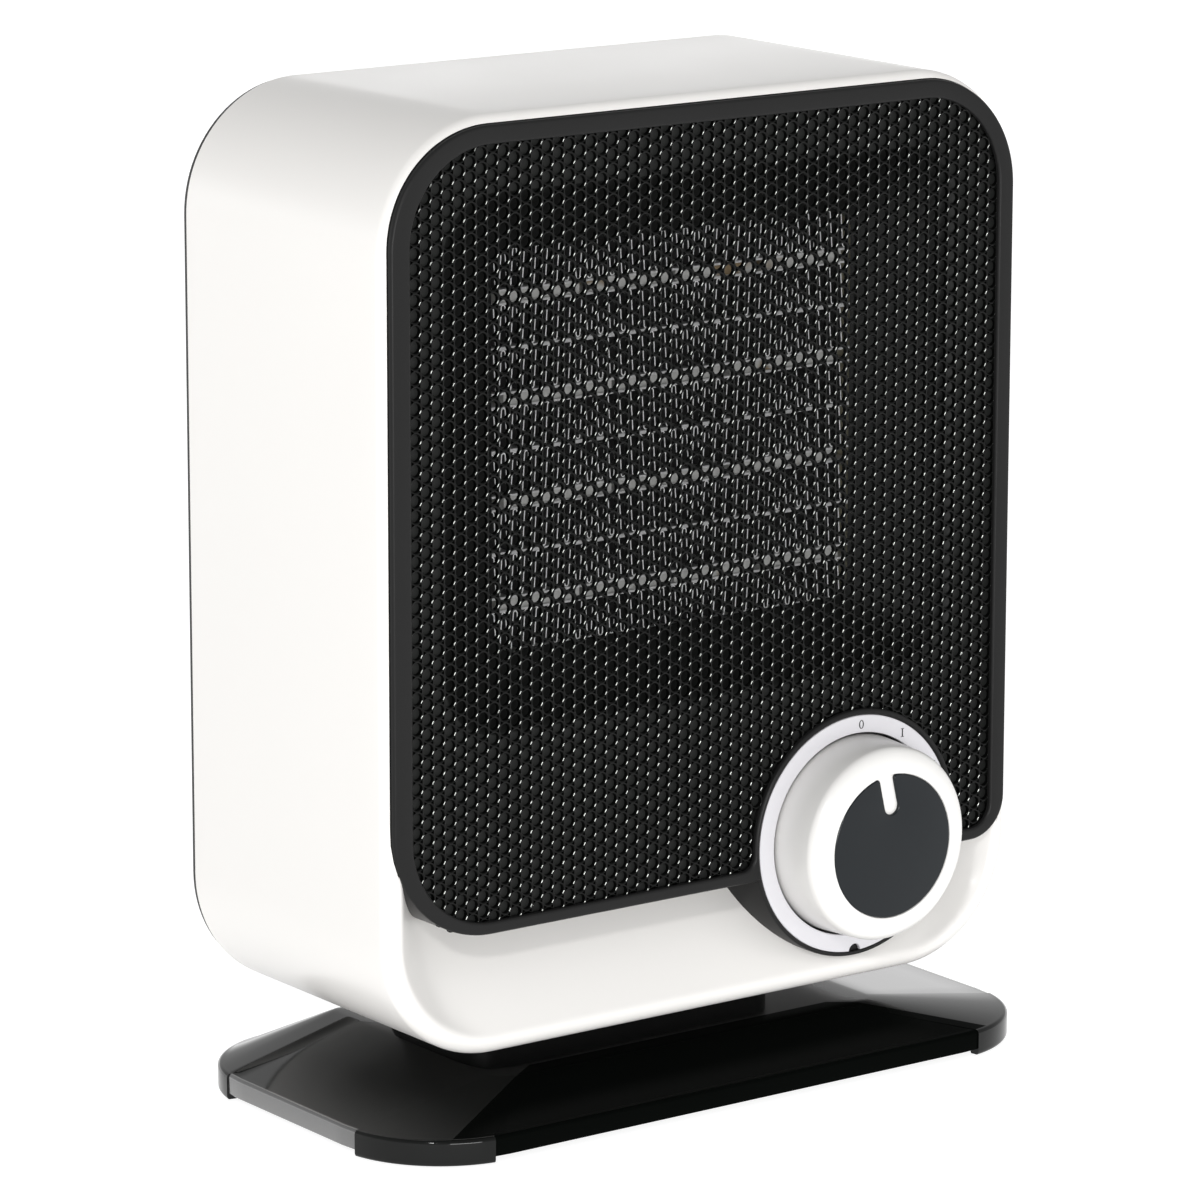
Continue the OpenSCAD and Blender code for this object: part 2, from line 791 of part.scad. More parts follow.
// Block on the shell's floor where the mains lead ends, with a wire hole and a screw hole per terminal.
module terminal_block() {
    color("white") in_body()
        translate([block_at.x, block_at.y, wall]) difference() {
            cube(block_size);
            for (i = [0:2]) translate([(i + 0.5) * block_pitch, block_size.y / 2, 0]) {
                translate([0, -block_size.y, block_size.z / 2]) rotate([-90, 0, 0])
                    cylinder(h = 2 * block_size.y, r = 2);
                translate([0, 0, block_size.z - 4]) cylinder(h = 5, r = 2.4);
            }
        }
}

// ---- dial, knob and switch --------------------------------------------------------------------------

module dial_ring() {
    color("lavender") in_body()
        facing_front(dial_x, ring_front + ring_t, dial_z)
            difference() {
                cylinder(h = ring_t, r = ring_r);
                translate([0, 0, -1]) cylinder(h = ring_t + 2, r = ring_in);
                translate([0, -ring_r, -1]) cylinder(h = ring_t + 2, r = notch_r);
            }
}

// Moves its children to the dial's axis.
module in_dial() {
    translate([dial_x, 0, dial_z]) children();
}

// Positions of the switch's two screws, seen from the dial's axis.
module switch_screw_places() {
    for (s = [-1, 1]) translate([s * switch_screw_x, 0, 0]) children();
}

module knob() {
    color("whitesmoke") in_body()
        facing_front(dial_x, knob_foot, dial_z) difference() {
            rotate_extrude() polygon(knob_profile);
            translate([0, 0, knob_len - face_t]) linear_extrude(face_t + 1) face_disc(0.05);
            translate([0, 0, -1]) difference() {
                cylinder(h = knob_len - knob_wall, r = knob_r - knob_wall);
                cylinder(h = knob_len, r = knob_boss_r);
            }
            translate([0, 0, -1]) cylinder(h = grip + 1.5, r = shaft_r);
        }
}

// The face disc's outline: a disc with a round-ended slot that serves as the pointer.
module face_disc(g) {
    difference() {
        circle(face_r + g);
        translate(slot_end) rotate(slot_lean) {
            circle(slot_w / 2 - g);
            translate([-slot_w / 2 + g, 0]) square([slot_w - 2 * g, slot_run]);
        }
    }
}

module knob_face() {
    color([0.08, 0.09, 0.1]) in_body()
        facing_front(dial_x, knob_foot - knob_len + face_t, dial_z) linear_extrude(face_t) face_disc(0);
}

module switch_shaft() {
    color("silver") in_body()
        facing_front(dial_x, shaft_seat, dial_z) {
            cylinder(h = shaft_seat - knob_foot + grip, r = shaft_r - 0.03);
            cylinder(h = 2, r = 4);
        }
}

// Rotary selector switch behind the housing's front wall, with its contact tabs at the back.
module rotary_switch() {
    color([0.75, 0.7, 0.6]) in_body()
        in_dial() {
            difference() {
                translate([-13, switch_y, -11]) cube([26, switch_d, 22]);
                facing_front(0, shaft_seat + 0.2, 0) cylinder(h = 10, r = 4.3);
                switch_screw_places() facing_front(0, switch_y + 6.6, 0) cylinder(h = 12, r = 1.1);
            }
            for (i = [-1:1], z = [-6, 4])
                translate([i * 7 - 2.4, switch_y + switch_d, z]) cube([4.8, 7, 0.8]);
        }
}

module switch_screws() {
    color("silver") in_body() in_dial()
        switch_screw_places() {
            facing_front(0, switch_y + 5, 0) cylinder(h = 5 + pod_wall, r = 1.05);
            facing_front(0, well_y, 0) cylinder(h = 0.5, r = 2.6);
        }
}

// ---- neck and base ------------------------------------------------------------------------------------

// The base's outline seen from above, moved inwards by d.
module base_outline(d) {
    r = base_r - d;
    round_rect(-base_w / 2 + d, base_w / 2 - d, -base_d / 2 + d, base_d / 2 - d, r, r, r, r);
}

module base_form(d) {
    hull() {
        translate([0, 0, rim_z1 - 1.01 - d]) linear_extrude(1.01) base_outline(0.5 + d);
        translate([0, 0, base_top - 0.2 - d]) linear_extrude(0.2)
            round_rect(-top_x + d, top_x - d, top_y0 + d, top_y1 - d, 10, 10, 10, 10);
    }
}

module base_cover() {
    color([0.03, 0.03, 0.035]) difference() {
        union() {
            base_form(0);
            translate([0, 0, rim_z0]) linear_extrude(rim_z1 - rim_z0) base_outline(0);
            corner_drops();
        }
        base_form(skin);
        translate([0, 0, -1]) linear_extrude(rim_z1 - skin + 1) base_outline(skin);
        neck_screw_places() cylinder(h = 20, r = 2);
    }
    color([0.03, 0.03, 0.035]) difference() {
        intersection() {
            base_screw_places() translate([0, 0, rim_z0 + 2]) cylinder(h = base_top, r = 3.6);
            base_form(skin - 0.4);
        }
        base_screw_places() cylinder(h = 7.4, r = 1.2);
    }
}

// The rim reaches down to the floor at the four corners.
module corner_drops() {
    translate([0, 0, drop_z]) linear_extrude(rim_z0 + 1) intersection() {
        difference() {
            base_outline(0);
            base_outline(skin + 1);
        }
        for (x = [-1, 1], y = [-1, 1])
            translate([x * (drop_x + base_w / 2), y * (drop_y + base_w / 2)]) square(base_w, center = true);
    }
}

module base_screw_places() {
    for (x = [-1, 1], y = [-1, 1]) translate([x * base_screw_x, y * base_screw_y, 0]) children();
}

module neck_screw_places() {
    for (s = [-1, 1]) translate([s * neck_screw_x, neck_screw_y, 0]) children();
}

module base_plate() {
    color([0.1, 0.1, 0.1]) difference() {
        translate([0, 0, rim_z0 + 0.2]) linear_extrude(1.8) base_outline(skin + 1 + gap);
        translate([0, 0, -1]) for (x = [-1, 1], y = [-1, 1])
            translate([x * foot_x, y * foot_y, 0]) cylinder(h = rim_z0 + 2, r = pad_r + 0.1);
        base_screw_places() cylinder(h = 10, r = 1.6);
        translate([0, plunger_y, -1]) cylinder(h = 10, r = plunger_r + gap);
    }
}

// Steel slab that keeps the tall body from tipping.
module base_weight() {
    color("slategray") difference() {
        translate([-weight_size.x / 2, weight_y, rim_z0 + 2]) cube(weight_size);
        neck_screw_places() cylinder(h = 20, r = 5.2);
    }
}

// Pedestal between the base and the shell.
module neck() {
    color([0.05, 0.05, 0.05]) difference() {
        translate([0, 0, base_top]) linear_extrude(body_z - base_top)
            round_rect(-neck_x, neck_x, neck_y0, neck_y1, neck_r, neck_r, neck_r, neck_r);
        neck_screw_places() cylinder(h = 40, r = 1.7);
    }
}

module neck_screws() {
    color("silver") neck_screw_places() {
        translate([0, 0, base_top - skin - neck_head_h]) cylinder(h = neck_head_h, r = neck_head_r);
        translate([0, 0, base_top - skin]) cylinder(h = body_z - base_top + skin + 9, r = 1.65);
    }
}

module base_screws() {
    color("silver") base_screw_places() {
        translate([0, 0, rim_z0 - 0.6]) cylinder(h = 0.8, r = 2.6);
        translate([0, 0, rim_z0]) cylinder(h = 5, r = 1.15);
    }
}

module rubber_feet() {
    color([0.15, 0.15, 0.15]) for (x = [-1, 1], y = [-1, 1])
        translate([x * foot_x, y * foot_y, 0]) cylinder(h = rim_z0 + 1, r = pad_r);
}

// Microswitch that cuts the power when the heater tips, over the plunger that works it.
module tilt_switch() {
    color([0.2, 0.2, 0.25]) difference() {
        translate([-tilt_size.x / 2, plunger_y - tilt_size.y / 2, rim_z0 + 2]) cube(tilt_size);
        translate([0, plunger_y, 0]) cylinder(h = rim_z0 + 6.7, r = plunger_r + collar_w + 0.3);
    }
}

// Stands on the floor, and drops by plunger_travel when the heater tips.
module tilt_plunger() {
    color("white") translate([0, plunger_y, 0]) {
        cylinder(h = collar_z + collar_t, r = plunger_r);
        translate([0, 0, collar_z]) cylinder(h = collar_t, r = plunger_r + collar_w);
    }
}

shell();
front_bezel();
grille();
front_duct();
element_holder();
ceramic_stones();
heating_fins();
electrode_plates();
element_terminals();
thermal_cutout();
thermal_fuse();
fan_shroud();
fan_impeller();
motor_shaft();
motor_rotor();
motor_stator();
motor_coil();
motor_brackets();
motor_screws();
rear_cover();
rear_cover_screws();
cable_inlet();
terminal_block();
dial_ring();
knob();
knob_face();
switch_shaft();
rotary_switch();
switch_screws();
neck();
base_cover();
base_plate();
base_weight();
neck_screws();
base_screws();
rubber_feet();
tilt_switch();
tilt_plunger();
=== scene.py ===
"""Upright ceramic fan heater: its visible pieces and finishes, a pale floor, soft light and the camera."""

import json
import math

import bmesh
import bpy
from mathutils import Matrix, Vector


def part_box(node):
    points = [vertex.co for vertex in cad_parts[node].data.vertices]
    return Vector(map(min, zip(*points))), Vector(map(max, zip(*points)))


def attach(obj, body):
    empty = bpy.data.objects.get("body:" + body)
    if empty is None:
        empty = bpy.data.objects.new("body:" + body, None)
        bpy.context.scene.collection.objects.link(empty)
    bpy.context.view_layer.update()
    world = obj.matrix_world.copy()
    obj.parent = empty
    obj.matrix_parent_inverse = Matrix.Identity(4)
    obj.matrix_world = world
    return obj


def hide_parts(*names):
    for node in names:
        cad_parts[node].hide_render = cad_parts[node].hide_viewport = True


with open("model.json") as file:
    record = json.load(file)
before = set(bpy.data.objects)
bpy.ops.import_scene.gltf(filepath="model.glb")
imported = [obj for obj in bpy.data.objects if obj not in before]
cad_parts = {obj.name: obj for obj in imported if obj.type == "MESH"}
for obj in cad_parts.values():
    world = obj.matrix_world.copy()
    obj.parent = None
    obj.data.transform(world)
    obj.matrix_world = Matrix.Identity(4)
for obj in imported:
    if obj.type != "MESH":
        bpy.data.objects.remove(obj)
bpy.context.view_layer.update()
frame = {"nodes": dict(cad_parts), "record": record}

MM = 0.001

# ---------------------------------------------------------------------------------------------
# Places, read from the frame
# ---------------------------------------------------------------------------------------------

SHELL_LOW, SHELL_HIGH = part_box("shell")
BEZEL_LOW, BEZEL_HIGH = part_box("front_bezel")
RING_LOW, RING_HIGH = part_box("dial_ring")
KNOB_LOW, KNOB_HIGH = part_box("knob")
FACE_LOW, FACE_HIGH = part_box("knob_face")
FINS_LOW, FINS_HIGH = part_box("heating_fins")
PLATES_LOW, PLATES_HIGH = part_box("electrode_plates")
_, BASE_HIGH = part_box("base_cover")
FAN_LOW, FAN_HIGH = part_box("fan_impeller")

FRONT = SHELL_LOW.y
BACK = SHELL_HIGH.y
UNDER = SHELL_LOW.z
BEZEL_PROUD = 0.8 * MM
BEZEL_FRONT = FRONT - BEZEL_PROUD
RING_R = (RING_HIGH.x - RING_LOW.x) / 2
DIAL_X = (KNOB_LOW.x + KNOB_HIGH.x) / 2
DIAL_Z = (KNOB_LOW.z + KNOB_HIGH.z) / 2
FAN_Z = (FAN_LOW.z + FAN_HIGH.z) / 2

# Shell
SHELL_R = 30 * MM
FRONT_ROUND = 3.4 * MM
BACK_ROUND = 1.2 * MM
WALL = 2.6 * MM
RIM = 4.5 * MM
RIM_ROUND = 1.0 * MM
CHIN_DEPTH = 30 * MM
SIDE_DEPTH = 12 * MM
RAMP_LEAN = math.radians(36.5)
DISH_SIDE = math.radians(47)
DISH_ROUND = 1.6 * MM
DISH_TOP = UNDER + 50 * MM
DISH_WALL = 1.6 * MM
CHIN_AIM = UNDER + 75 * MM
DEEP_TO = 44 * MM
DEEP_FADE = 6 * MM

# Bezel
BEZEL_R = 26.7 * MM
BEZEL_R_DIAL = 10 * MM
BEZEL_DEPTH = 7 * MM
BEZEL_BOTTOM = UNDER + 28.7 * MM
BEZEL_TOP = UNDER + 212.9 * MM
POD_BACK = FRONT + 26 * MM
POD_WALL = 2.2 * MM
LIP = 1.2 * MM
LIP_HIDDEN = 1.6 * MM
BAND_LEFT = 5.3 * MM
BAND_RIGHT = 4.4 * MM
BAND_TOP = 4.4 * MM
BAND_LOW = 2.9 * MM
SURROUND_R = 30.1 * MM
POD_R = 29.7 * MM
WELL_R = 24.5 * MM
SEAM = 0.25 * MM

# Grille
COLUMN_STEP = 2.99 * MM
HOLE_STEP = 3.45 * MM
HOLE_R = 1.36 * MM
HOLE_ROUND = 0.34 * MM
HOLE_SIDES = 12
SHEET = 1.2 * MM
FIRST_COLUMN = 0.35
FIRST_ROW = 0.8
CELL_REACH = HOLE_STEP * 0.62
GLINT_TURN = -30
GLINT_HALF = 12

# ---------------------------------------------------------------------------------------------
# Finishes
# ---------------------------------------------------------------------------------------------


def linear(r, g, b):
    """A display colour as the linear colour that a shader takes."""
    return tuple(c / 12.92 if c <= 0.04045 else ((c + 0.055) / 1.055) ** 2.4 for c in (r, g, b)) + (1.0,)


def finish(name, colour, roughness, metallic=0.0, tint=0.04, uneven=0.05, grain=900.0, bump=0.02,
           broad=25.0, coat=0.0, coat_roughness=0.05, specular=0.5, ior=1.5):
    """A finish whose colour and roughness drift a little over the surface, with a fine grain."""
    mat = bpy.data.materials.new(name)
    mat.use_nodes = True
    nodes, links = mat.node_tree.nodes, mat.node_tree.links
    shader = nodes["Principled BSDF"]
    shader.inputs["Metallic"].default_value = metallic
    shader.inputs["Coat Weight"].default_value = coat
    shader.inputs["Coat Roughness"].default_value = coat_roughness
    shader.inputs["Specular IOR Level"].default_value = specular
    shader.inputs["IOR"].default_value = ior
    place = nodes.new("ShaderNodeTexCoord")
    drift = nodes.new("ShaderNodeTexNoise")
    drift.inputs["Scale"].default_value = broad
    drift.inputs["Detail"].default_value = 5.0
    links.new(place.outputs["Object"], drift.inputs["Vector"])
    mix = nodes.new("ShaderNodeMix")
    mix.data_type = "RGBA"
    dark = tuple(c * (1 - tint) for c in colour[:3]) + (1.0,)
    light = tuple(min(1.0, c * (1 + tint)) for c in colour[:3]) + (1.0,)
    mix.inputs[6].default_value = dark
    mix.inputs[7].default_value = light
    links.new(drift.outputs["Fac"], mix.inputs[0])
    links.new(mix.outputs[2], shader.inputs["Base Color"])
    spread = nodes.new("ShaderNodeMapRange")
    spread.interpolation_type = "SMOOTHSTEP"
    spread.inputs["From Min"].default_value = 0.1
    spread.inputs["From Max"].default_value = 0.9
    spread.inputs["To Min"].default_value = max(0.02, roughness - uneven)
    spread.inputs["To Max"].default_value = min(1.0, roughness + uneven)
    links.new(drift.outputs["Fac"], spread.inputs["Value"])
    links.new(spread.outputs["Result"], shader.inputs["Roughness"])
    fine = nodes.new("ShaderNodeTexNoise")
    fine.inputs["Scale"].default_value = grain
    fine.inputs["Detail"].default_value = 3.0
    links.new(place.outputs["Object"], fine.inputs["Vector"])
    relief = nodes.new("ShaderNodeBump")
    relief.inputs["Strength"].default_value = bump
    relief.inputs["Distance"].default_value = 0.0004
    links.new(fine.outputs["Fac"], relief.inputs["Height"])
    links.new(relief.outputs["Normal"], shader.inputs["Normal"])
    return mat


def speckle(mat, colour, share, scale):
    """Scatters small specks, such as dust or ceramic tints, over a finish."""
    nodes, links = mat.node_tree.nodes, mat.node_tree.links
    shader = nodes["Principled BSDF"]
    under = shader.inputs["Base Color"].links[0].from_socket
    place = nodes.new("ShaderNodeTexCoord")
    cells = nodes.new("ShaderNodeTexNoise")
    cells.inputs["Scale"].default_value = scale
    cells.inputs["Detail"].default_value = 2.0
    links.new(place.outputs["Object"], cells.inputs["Vector"])
    cut = nodes.new("ShaderNodeMapRange")
    cut.inputs["From Min"].default_value = 1 - share
    cut.inputs["From Max"].default_value = 1 - share + 0.04
    links.new(cells.outputs["Fac"], cut.inputs["Value"])
    mix = nodes.new("ShaderNodeMix")
    mix.data_type = "RGBA"
    mix.inputs[7].default_value = colour
    links.new(cut.outputs["Result"], mix.inputs[0])
    links.new(under, mix.inputs[6])
    links.new(mix.outputs[2], shader.inputs["Base Color"])
    return mat


SHELL_WHITE = finish("shell_white", linear(0.935, 0.927, 0.915), 0.32, tint=0.008, uneven=0.03, grain=500,
                     bump=0.004, coat=0.1, coat_roughness=0.1, specular=0.4)
KNOB_WHITE = finish("knob_white", linear(0.93, 0.925, 0.915), 0.34, tint=0.02, grain=700, bump=0.012,
                    coat=0.2)
BEZEL_BLACK = finish("bezel_black", linear(0.12, 0.12, 0.12), 0.34, tint=0.1, grain=1500, bump=0.03,
                     specular=0.15)
GRILLE_BLACK = finish("grille_black", linear(0.03, 0.034, 0.03), 0.13, tint=0.1, uneven=0.02, grain=900,
                      bump=0.01, specular=0.2, ior=1.45)
# A painted glint: a bright metallic finish put on one spot of each hole's rounded edge.
GRILLE_PAINTED_GLINT = finish("grille_painted_glint", linear(0.78, 0.79, 0.77), 0.4, metallic=0.9, tint=0.1, grain=900,
                     bump=0.01)
DUCT_BLACK = finish("duct_black", linear(0.08, 0.085, 0.08), 0.6, tint=0.15, grain=1200, bump=0.05,
                    specular=0.3)
STONE_PLAIN = finish("stone_grey", linear(0.72, 0.72, 0.71), 0.6, tint=0.05, grain=1500, bump=0.1)
STONE_GREY = speckle(STONE_PLAIN, linear(0.5, 0.43, 0.32), 0.36, 60.0)
# The fin metal is darkened as painted shade for the deep flanks between the folds, and its front edges get
# a bright copy as a painted highlight.
FIN_ALU_PAINTED_SHADE = finish("fin_alu", linear(0.3, 0.3, 0.3), 0.5, metallic=0.3, tint=0.1, grain=900, bump=0.03)
FIN_EDGE_PAINTED_HIGHLIGHT = finish("fin_edge_painted_highlight", linear(0.95, 0.95, 0.95), 0.45, tint=0.04, grain=900, bump=0.03)
CONTACT_ALU = finish("contact_alu", linear(0.8, 0.8, 0.8), 0.4, metallic=0.3, tint=0.05)
HOLDER_CREAM = finish("holder_cream", linear(0.8, 0.77, 0.68), 0.55, tint=0.06)
BRASS_TAB = finish("brass_tab", linear(0.85, 0.7, 0.36), 0.35, metallic=1.0, tint=0.08)
STEEL_BRIGHT = finish("steel_bright", linear(0.78, 0.78, 0.78), 0.34, metallic=1.0, tint=0.06)
LAMINATION = finish("lamination", linear(0.42, 0.43, 0.45), 0.5, metallic=0.8, tint=0.12)
COIL_AMBER = finish("coil_amber", linear(0.7, 0.44, 0.16), 0.35, tint=0.1, coat=0.3)
FUSE_TAN = finish("fuse_tan", linear(0.8, 0.66, 0.48), 0.5, tint=0.08)
FAN_GREY = finish("fan_grey", linear(0.22, 0.22, 0.235), 0.45, tint=0.1)
SHROUD_BLACK = finish("shroud_black", linear(0.12, 0.12, 0.125), 0.55, tint=0.1)
REAR_BLACK = finish("rear_black", linear(0.1, 0.1, 0.105), 0.5, tint=0.1, grain=2200, bump=0.12)
RUBBER_BLACK = finish("rubber_black", linear(0.09, 0.09, 0.09), 0.8, tint=0.1, grain=1600, bump=0.08)
TERMINAL_WHITE = finish("terminal_white", linear(0.88, 0.88, 0.86), 0.45, tint=0.03)
RING_LAVENDER = finish("ring_lavender", linear(0.84, 0.835, 0.85), 0.4, tint=0.03, grain=1400, bump=0.02)
FACE_BLACK = finish("face_black", linear(0.075, 0.095, 0.11), 0.14, tint=0.08, grain=300, bump=0.004,
                    specular=0.3)
SWITCH_CREAM = finish("switch_cream", linear(0.8, 0.77, 0.69), 0.5, tint=0.05)
BASE_BLACK = finish("base_black", linear(0.028, 0.034, 0.03), 0.08, tint=0.1, uneven=0.02, grain=350,
                    bump=0.004, specular=0.35, ior=1.42)
# Painted shade: a copy of the base black that barely reflects, for the front slope and the rim below it.
BASE_PAINTED_SHADE = finish("base_painted_shade", linear(0.024, 0.03, 0.026), 0.09, tint=0.1, uneven=0.02, grain=350,
                   bump=0.004, specular=0.01, ior=1.42)
# Painted sheen: a brighter, glossier copy of the black for the rim's two ends, standing in for the
# reflection they catch.
RIM_PAINTED_SHEEN = finish("rim_painted_sheen", linear(0.2, 0.2, 0.2), 0.22, tint=0.15, uneven=0.04, grain=350,
                   bump=0.01, coat=1.0, coat_roughness=0.15, specular=1.0)
PLATE_BLACK = finish("plate_black", linear(0.14, 0.14, 0.14), 0.5, tint=0.08)
MARK_BLACK = finish("mark_black", linear(0.06, 0.06, 0.07), 0.5, tint=0.05)

FINISHES = {
    "shell_white": SHELL_WHITE, "bezel_black": BEZEL_BLACK, "grille_black": GRILLE_BLACK,
    "duct_black": DUCT_BLACK, "holder_cream": HOLDER_CREAM, "stone_grey": STONE_GREY, "fin_alu": FIN_ALU_PAINTED_SHADE,
    "contact_alu": CONTACT_ALU, "brass_tab": BRASS_TAB, "steel_bright": STEEL_BRIGHT,
    "lamination": LAMINATION, "coil_amber": COIL_AMBER, "fuse_tan": FUSE_TAN, "fan_grey": FAN_GREY,
    "shroud_black": SHROUD_BLACK, "rear_black": REAR_BLACK, "rubber_black": RUBBER_BLACK,
    "terminal_white": TERMINAL_WHITE, "ring_lavender": RING_LAVENDER, "knob_white": KNOB_WHITE,
    "face_black": FACE_BLACK, "switch_cream": SWITCH_CREAM, "base_black": BASE_BLACK,
    "plate_black": PLATE_BLACK,
}

# Every CAD node wears its slot's finish.
for part in frame["record"]["subparts"]:
    for place in frame["nodes"][part["node"]].material_slots:
        place.material = FINISHES[part["material_slot"]]

# ---------------------------------------------------------------------------------------------
# Mesh helpers
# ---------------------------------------------------------------------------------------------


def piece(name, bm, mat, body, replaced=(), sharp=35.0):
    """Makes an object from a bmesh, smooth except at sharp edges, riding on a body."""
    bmesh.ops.recalc_face_normals(bm, faces=bm.faces)
    mesh = bpy.data.meshes.new(name)
    bm.to_mesh(mesh)
    bm.free()
    mesh.shade_smooth()
    mesh.set_sharp_from_angle(angle=math.radians(sharp))
    obj = bpy.data.objects.new(name, mesh)
    bpy.context.scene.collection.objects.link(obj)
    mesh.materials.append(mat)
    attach(obj, body)
    if replaced:
        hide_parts(*replaced)
    return obj


def skin(bm, rings, closed_loft=False, caps=False):
    """Quads between closed rings of the same length. Each ring is a list of points."""
    made = [[bm.verts.new(p) for p in ring] for ring in rings]
    pairs = list(zip(made, made[1:]))
    if closed_loft:
        pairs.append((made[-1], made[0]))
    for a, b in pairs:
        count = len(a)
        for i in range(count):
            j = (i + 1) % count
            bm.faces.new((a[i], a[j], b[j], b[i]))
    if caps:
        bm.faces.new(made[0])
        bm.faces.new(made[-1][::-1])
    return made


def turned(bm, centre, profile, sides=96, axis="y"):
    """Turns a closed half section of (radius, distance) points about an axis through centre.

    Distances run along +Y for "y" and along +Z for "z"."""
    rings = []
    for i in range(sides):
        a = 2 * math.pi * i / sides
        ring = []
        for r, d in profile:
            across, up = r * math.cos(a), r * math.sin(a)
            if axis == "y":
                ring.append(Vector((centre[0] + across, centre[1] + d, centre[2] + up)))
            else:
                ring.append(Vector((centre[0] + across, centre[1] + up, centre[2] + d)))
        rings.append(ring)
    skin(bm, rings, closed_loft=True)
    bmesh.ops.remove_doubles(bm, verts=bm.verts, dist=1e-6)


def arc(cx, cz, r, start, end, steps):
    """Points on an arc, from start to end in degrees."""
    out = []
    for i in range(steps + 1):
        a = math.radians(start + (end - start) * i / steps)
        out.append((cx + r * math.cos(a), cz + r * math.sin(a)))
    return out


def round_rect(x0, x1, z0, z1, radii, steps=14, runs=12):
    """Outline with round corners, anticlockwise from the lower edge's left end.

    radii are for the lower right, upper right, upper left and lower left corners."""
    lr, ur, ul, ll = radii
    corners = [
        (x1 - lr, z0 + lr, lr, -90), (x1 - ur, z1 - ur, ur, 0),
        (x0 + ul, z1 - ul, ul, 90), (x0 + ll, z0 + ll, ll, 180),
    ]
    out = []
    for i, (cx, cz, r, start) in enumerate(corners):
        out += arc(cx, cz, r, start, start + 90, steps)
        nx, nz, nr, nstart = corners[(i + 1) % 4]
        a = out[-1]
        b = arc(nx, nz, nr, nstart, nstart + 90, 1)[0]
        for k in range(1, runs):
            out.append((a[0] + (b[0] - a[0]) * k / runs, a[1] + (b[1] - a[1]) * k / runs))
    return out


def normals(loop):
    """Outward normals of an anticlockwise outline."""
    out = []
    count = len(loop)
    for i in range(count):
        ax, az = loop[i - 1]
        bx, bz = loop[i]
        cx, cz = loop[(i + 1) % count]
        n1 = Vector((bz - az, ax - bx)).normalized()
        n2 = Vector((cz - bz, bx - cx)).normalized()
        n = n1 + n2
        out.append(n / max(0.3, 1 + n1.dot(n2)))
    return out


def moved(loop, distance):
    """The outline moved inwards by distance."""
    return [(x - n.x * distance, z - n.y * distance) for (x, z), n in zip(loop, normals(loop))]


def at_depth(loop, y):
    return [Vector((x, y, z)) for x, z in loop]


def rounding(r, steps=5):
    """(inset, drop) pairs round a quarter circle, from the side to the face."""
    return [(r * (1 - math.cos(a)), r * (1 - math.sin(a)))
            for a in (math.pi / 2 * i / steps for i in range(steps + 1))]


def slab(bm, outer, holes, y_front, y_back, front_r=0.0, back_r=0.0, steps=4):
    """A plate between two depths with rounded front and back edges. Holes are outlines too."""
    edges = {"front": [], "back": []}
    for loop, sign in [(outer, 1)] + [(hole, -1) for hole in holes]:
        rings = []
        if back_r > 0:
            for inset, drop in reversed(rounding(back_r, steps)):
                rings.append(at_depth(moved(loop, sign * inset), y_back - drop))
        else:
            rings.append(at_depth(loop, y_back))
        if front_r > 0:
            for inset, drop in rounding(front_r, steps):
                rings.append(at_depth(moved(loop, sign * inset), y_front + drop))
        else:
            rings.append(at_depth(loop, y_front))
        made = skin(bm, rings)
        for side, ring in (("back", made[0]), ("front", made[-1])):
            for a, b in zip(ring, ring[1:] + ring[:1]):
                edges[side].append(bm.edges.get((a, b)))
    for side in edges:
        bmesh.ops.triangle_fill(bm, edges=edges[side], use_beauty=True, use_dissolve=False)


def inside_distance(x, z, rect):
    """How far a point lies inside a rounded rectangle (x0, x1, z0, z1, radii); negative is outside."""
    x0, x1, z0, z1, (lr, ur, ul, ll) = rect
    mid_x, mid_z = (x0 + x1) / 2, (z0 + z1) / 2
    if z < mid_z:
        r = lr if x > mid_x else ll
    else:
        r = ur if x > mid_x else ul
    dx = max(x0 + r - x, x - (x1 - r))
    dz = max(z0 + r - z, z - (z1 - r))
    if dx > 0 and dz > 0:
        return r - math.hypot(dx, dz)
    return r - max(dx, dz)


# ---------------------------------------------------------------------------------------------
# Shell: a rounded tube whose front rim closes round the bezel, and the white dish of the chin
# ---------------------------------------------------------------------------------------------

SHELL_RECT = (SHELL_LOW.x, SHELL_HIGH.x, SHELL_LOW.z, SHELL_HIGH.z, (SHELL_R,) * 4)
BEZEL_RECT = (BEZEL_LOW.x, BEZEL_HIGH.x, BEZEL_BOTTOM, BEZEL_TOP,
              (BEZEL_R_DIAL, BEZEL_R, BEZEL_R, BEZEL_R))


def chin_depth(x, z):
    """Depth of the chin's dish: a ramp that leans back from the lower rim and curves up at the sides."""
    inset = RIM - RIM_ROUND
    depths = []
    reaches = (
        (z - UNDER - inset, math.tan(RAMP_LEAN)),
        (inside_distance(x, z, SHELL_RECT) - inset, math.tan(DISH_SIDE)),
    )
    for reach, slope in reaches:
        bend = slope * DISH_ROUND
        depths.append(reach * reach / (2 * DISH_ROUND) if reach < bend else slope * (reach - bend / 2))
    if min(depths) < 1e-9 or min(reaches)[0] <= 0:
        return 0.0
    return (depths[0] ** -4 + depths[1] ** -4) ** -0.25


def add_chin(bm, outline):
    """The dish of the chin, from the rim's inner edge to behind the bezel's lower wall."""
    middle = Vector((0, CHIN_AIM))
    rim = [Vector(p) for p in moved(outline, RIM - RIM_ROUND) if p[1] <= DISH_TOP]
    rim.sort(key=lambda p: math.atan2(p.x, middle.y - p.y))
    rows = 48
    rings = []
    for p in rim:
        low, high = 0.0, 1.0
        for _ in range(30):
            half = (low + high) / 2
            q = p.lerp(middle, half)
            if inside_distance(q.x, q.y, BEZEL_RECT) < 2 * MM:
                low = half
            else:
                high = half
        end = p.lerp(middle, high)
        front = []
        for k in range(rows + 1):
            q = p.lerp(end, (k / rows) ** 1.5)
            front.append(Vector((q.x, FRONT + chin_depth(q.x, q.y), q.y)))
        rings.append(front + [v + Vector((0, DISH_WALL, 0)) for v in reversed(front)])
    skin(bm, rings, caps=True)


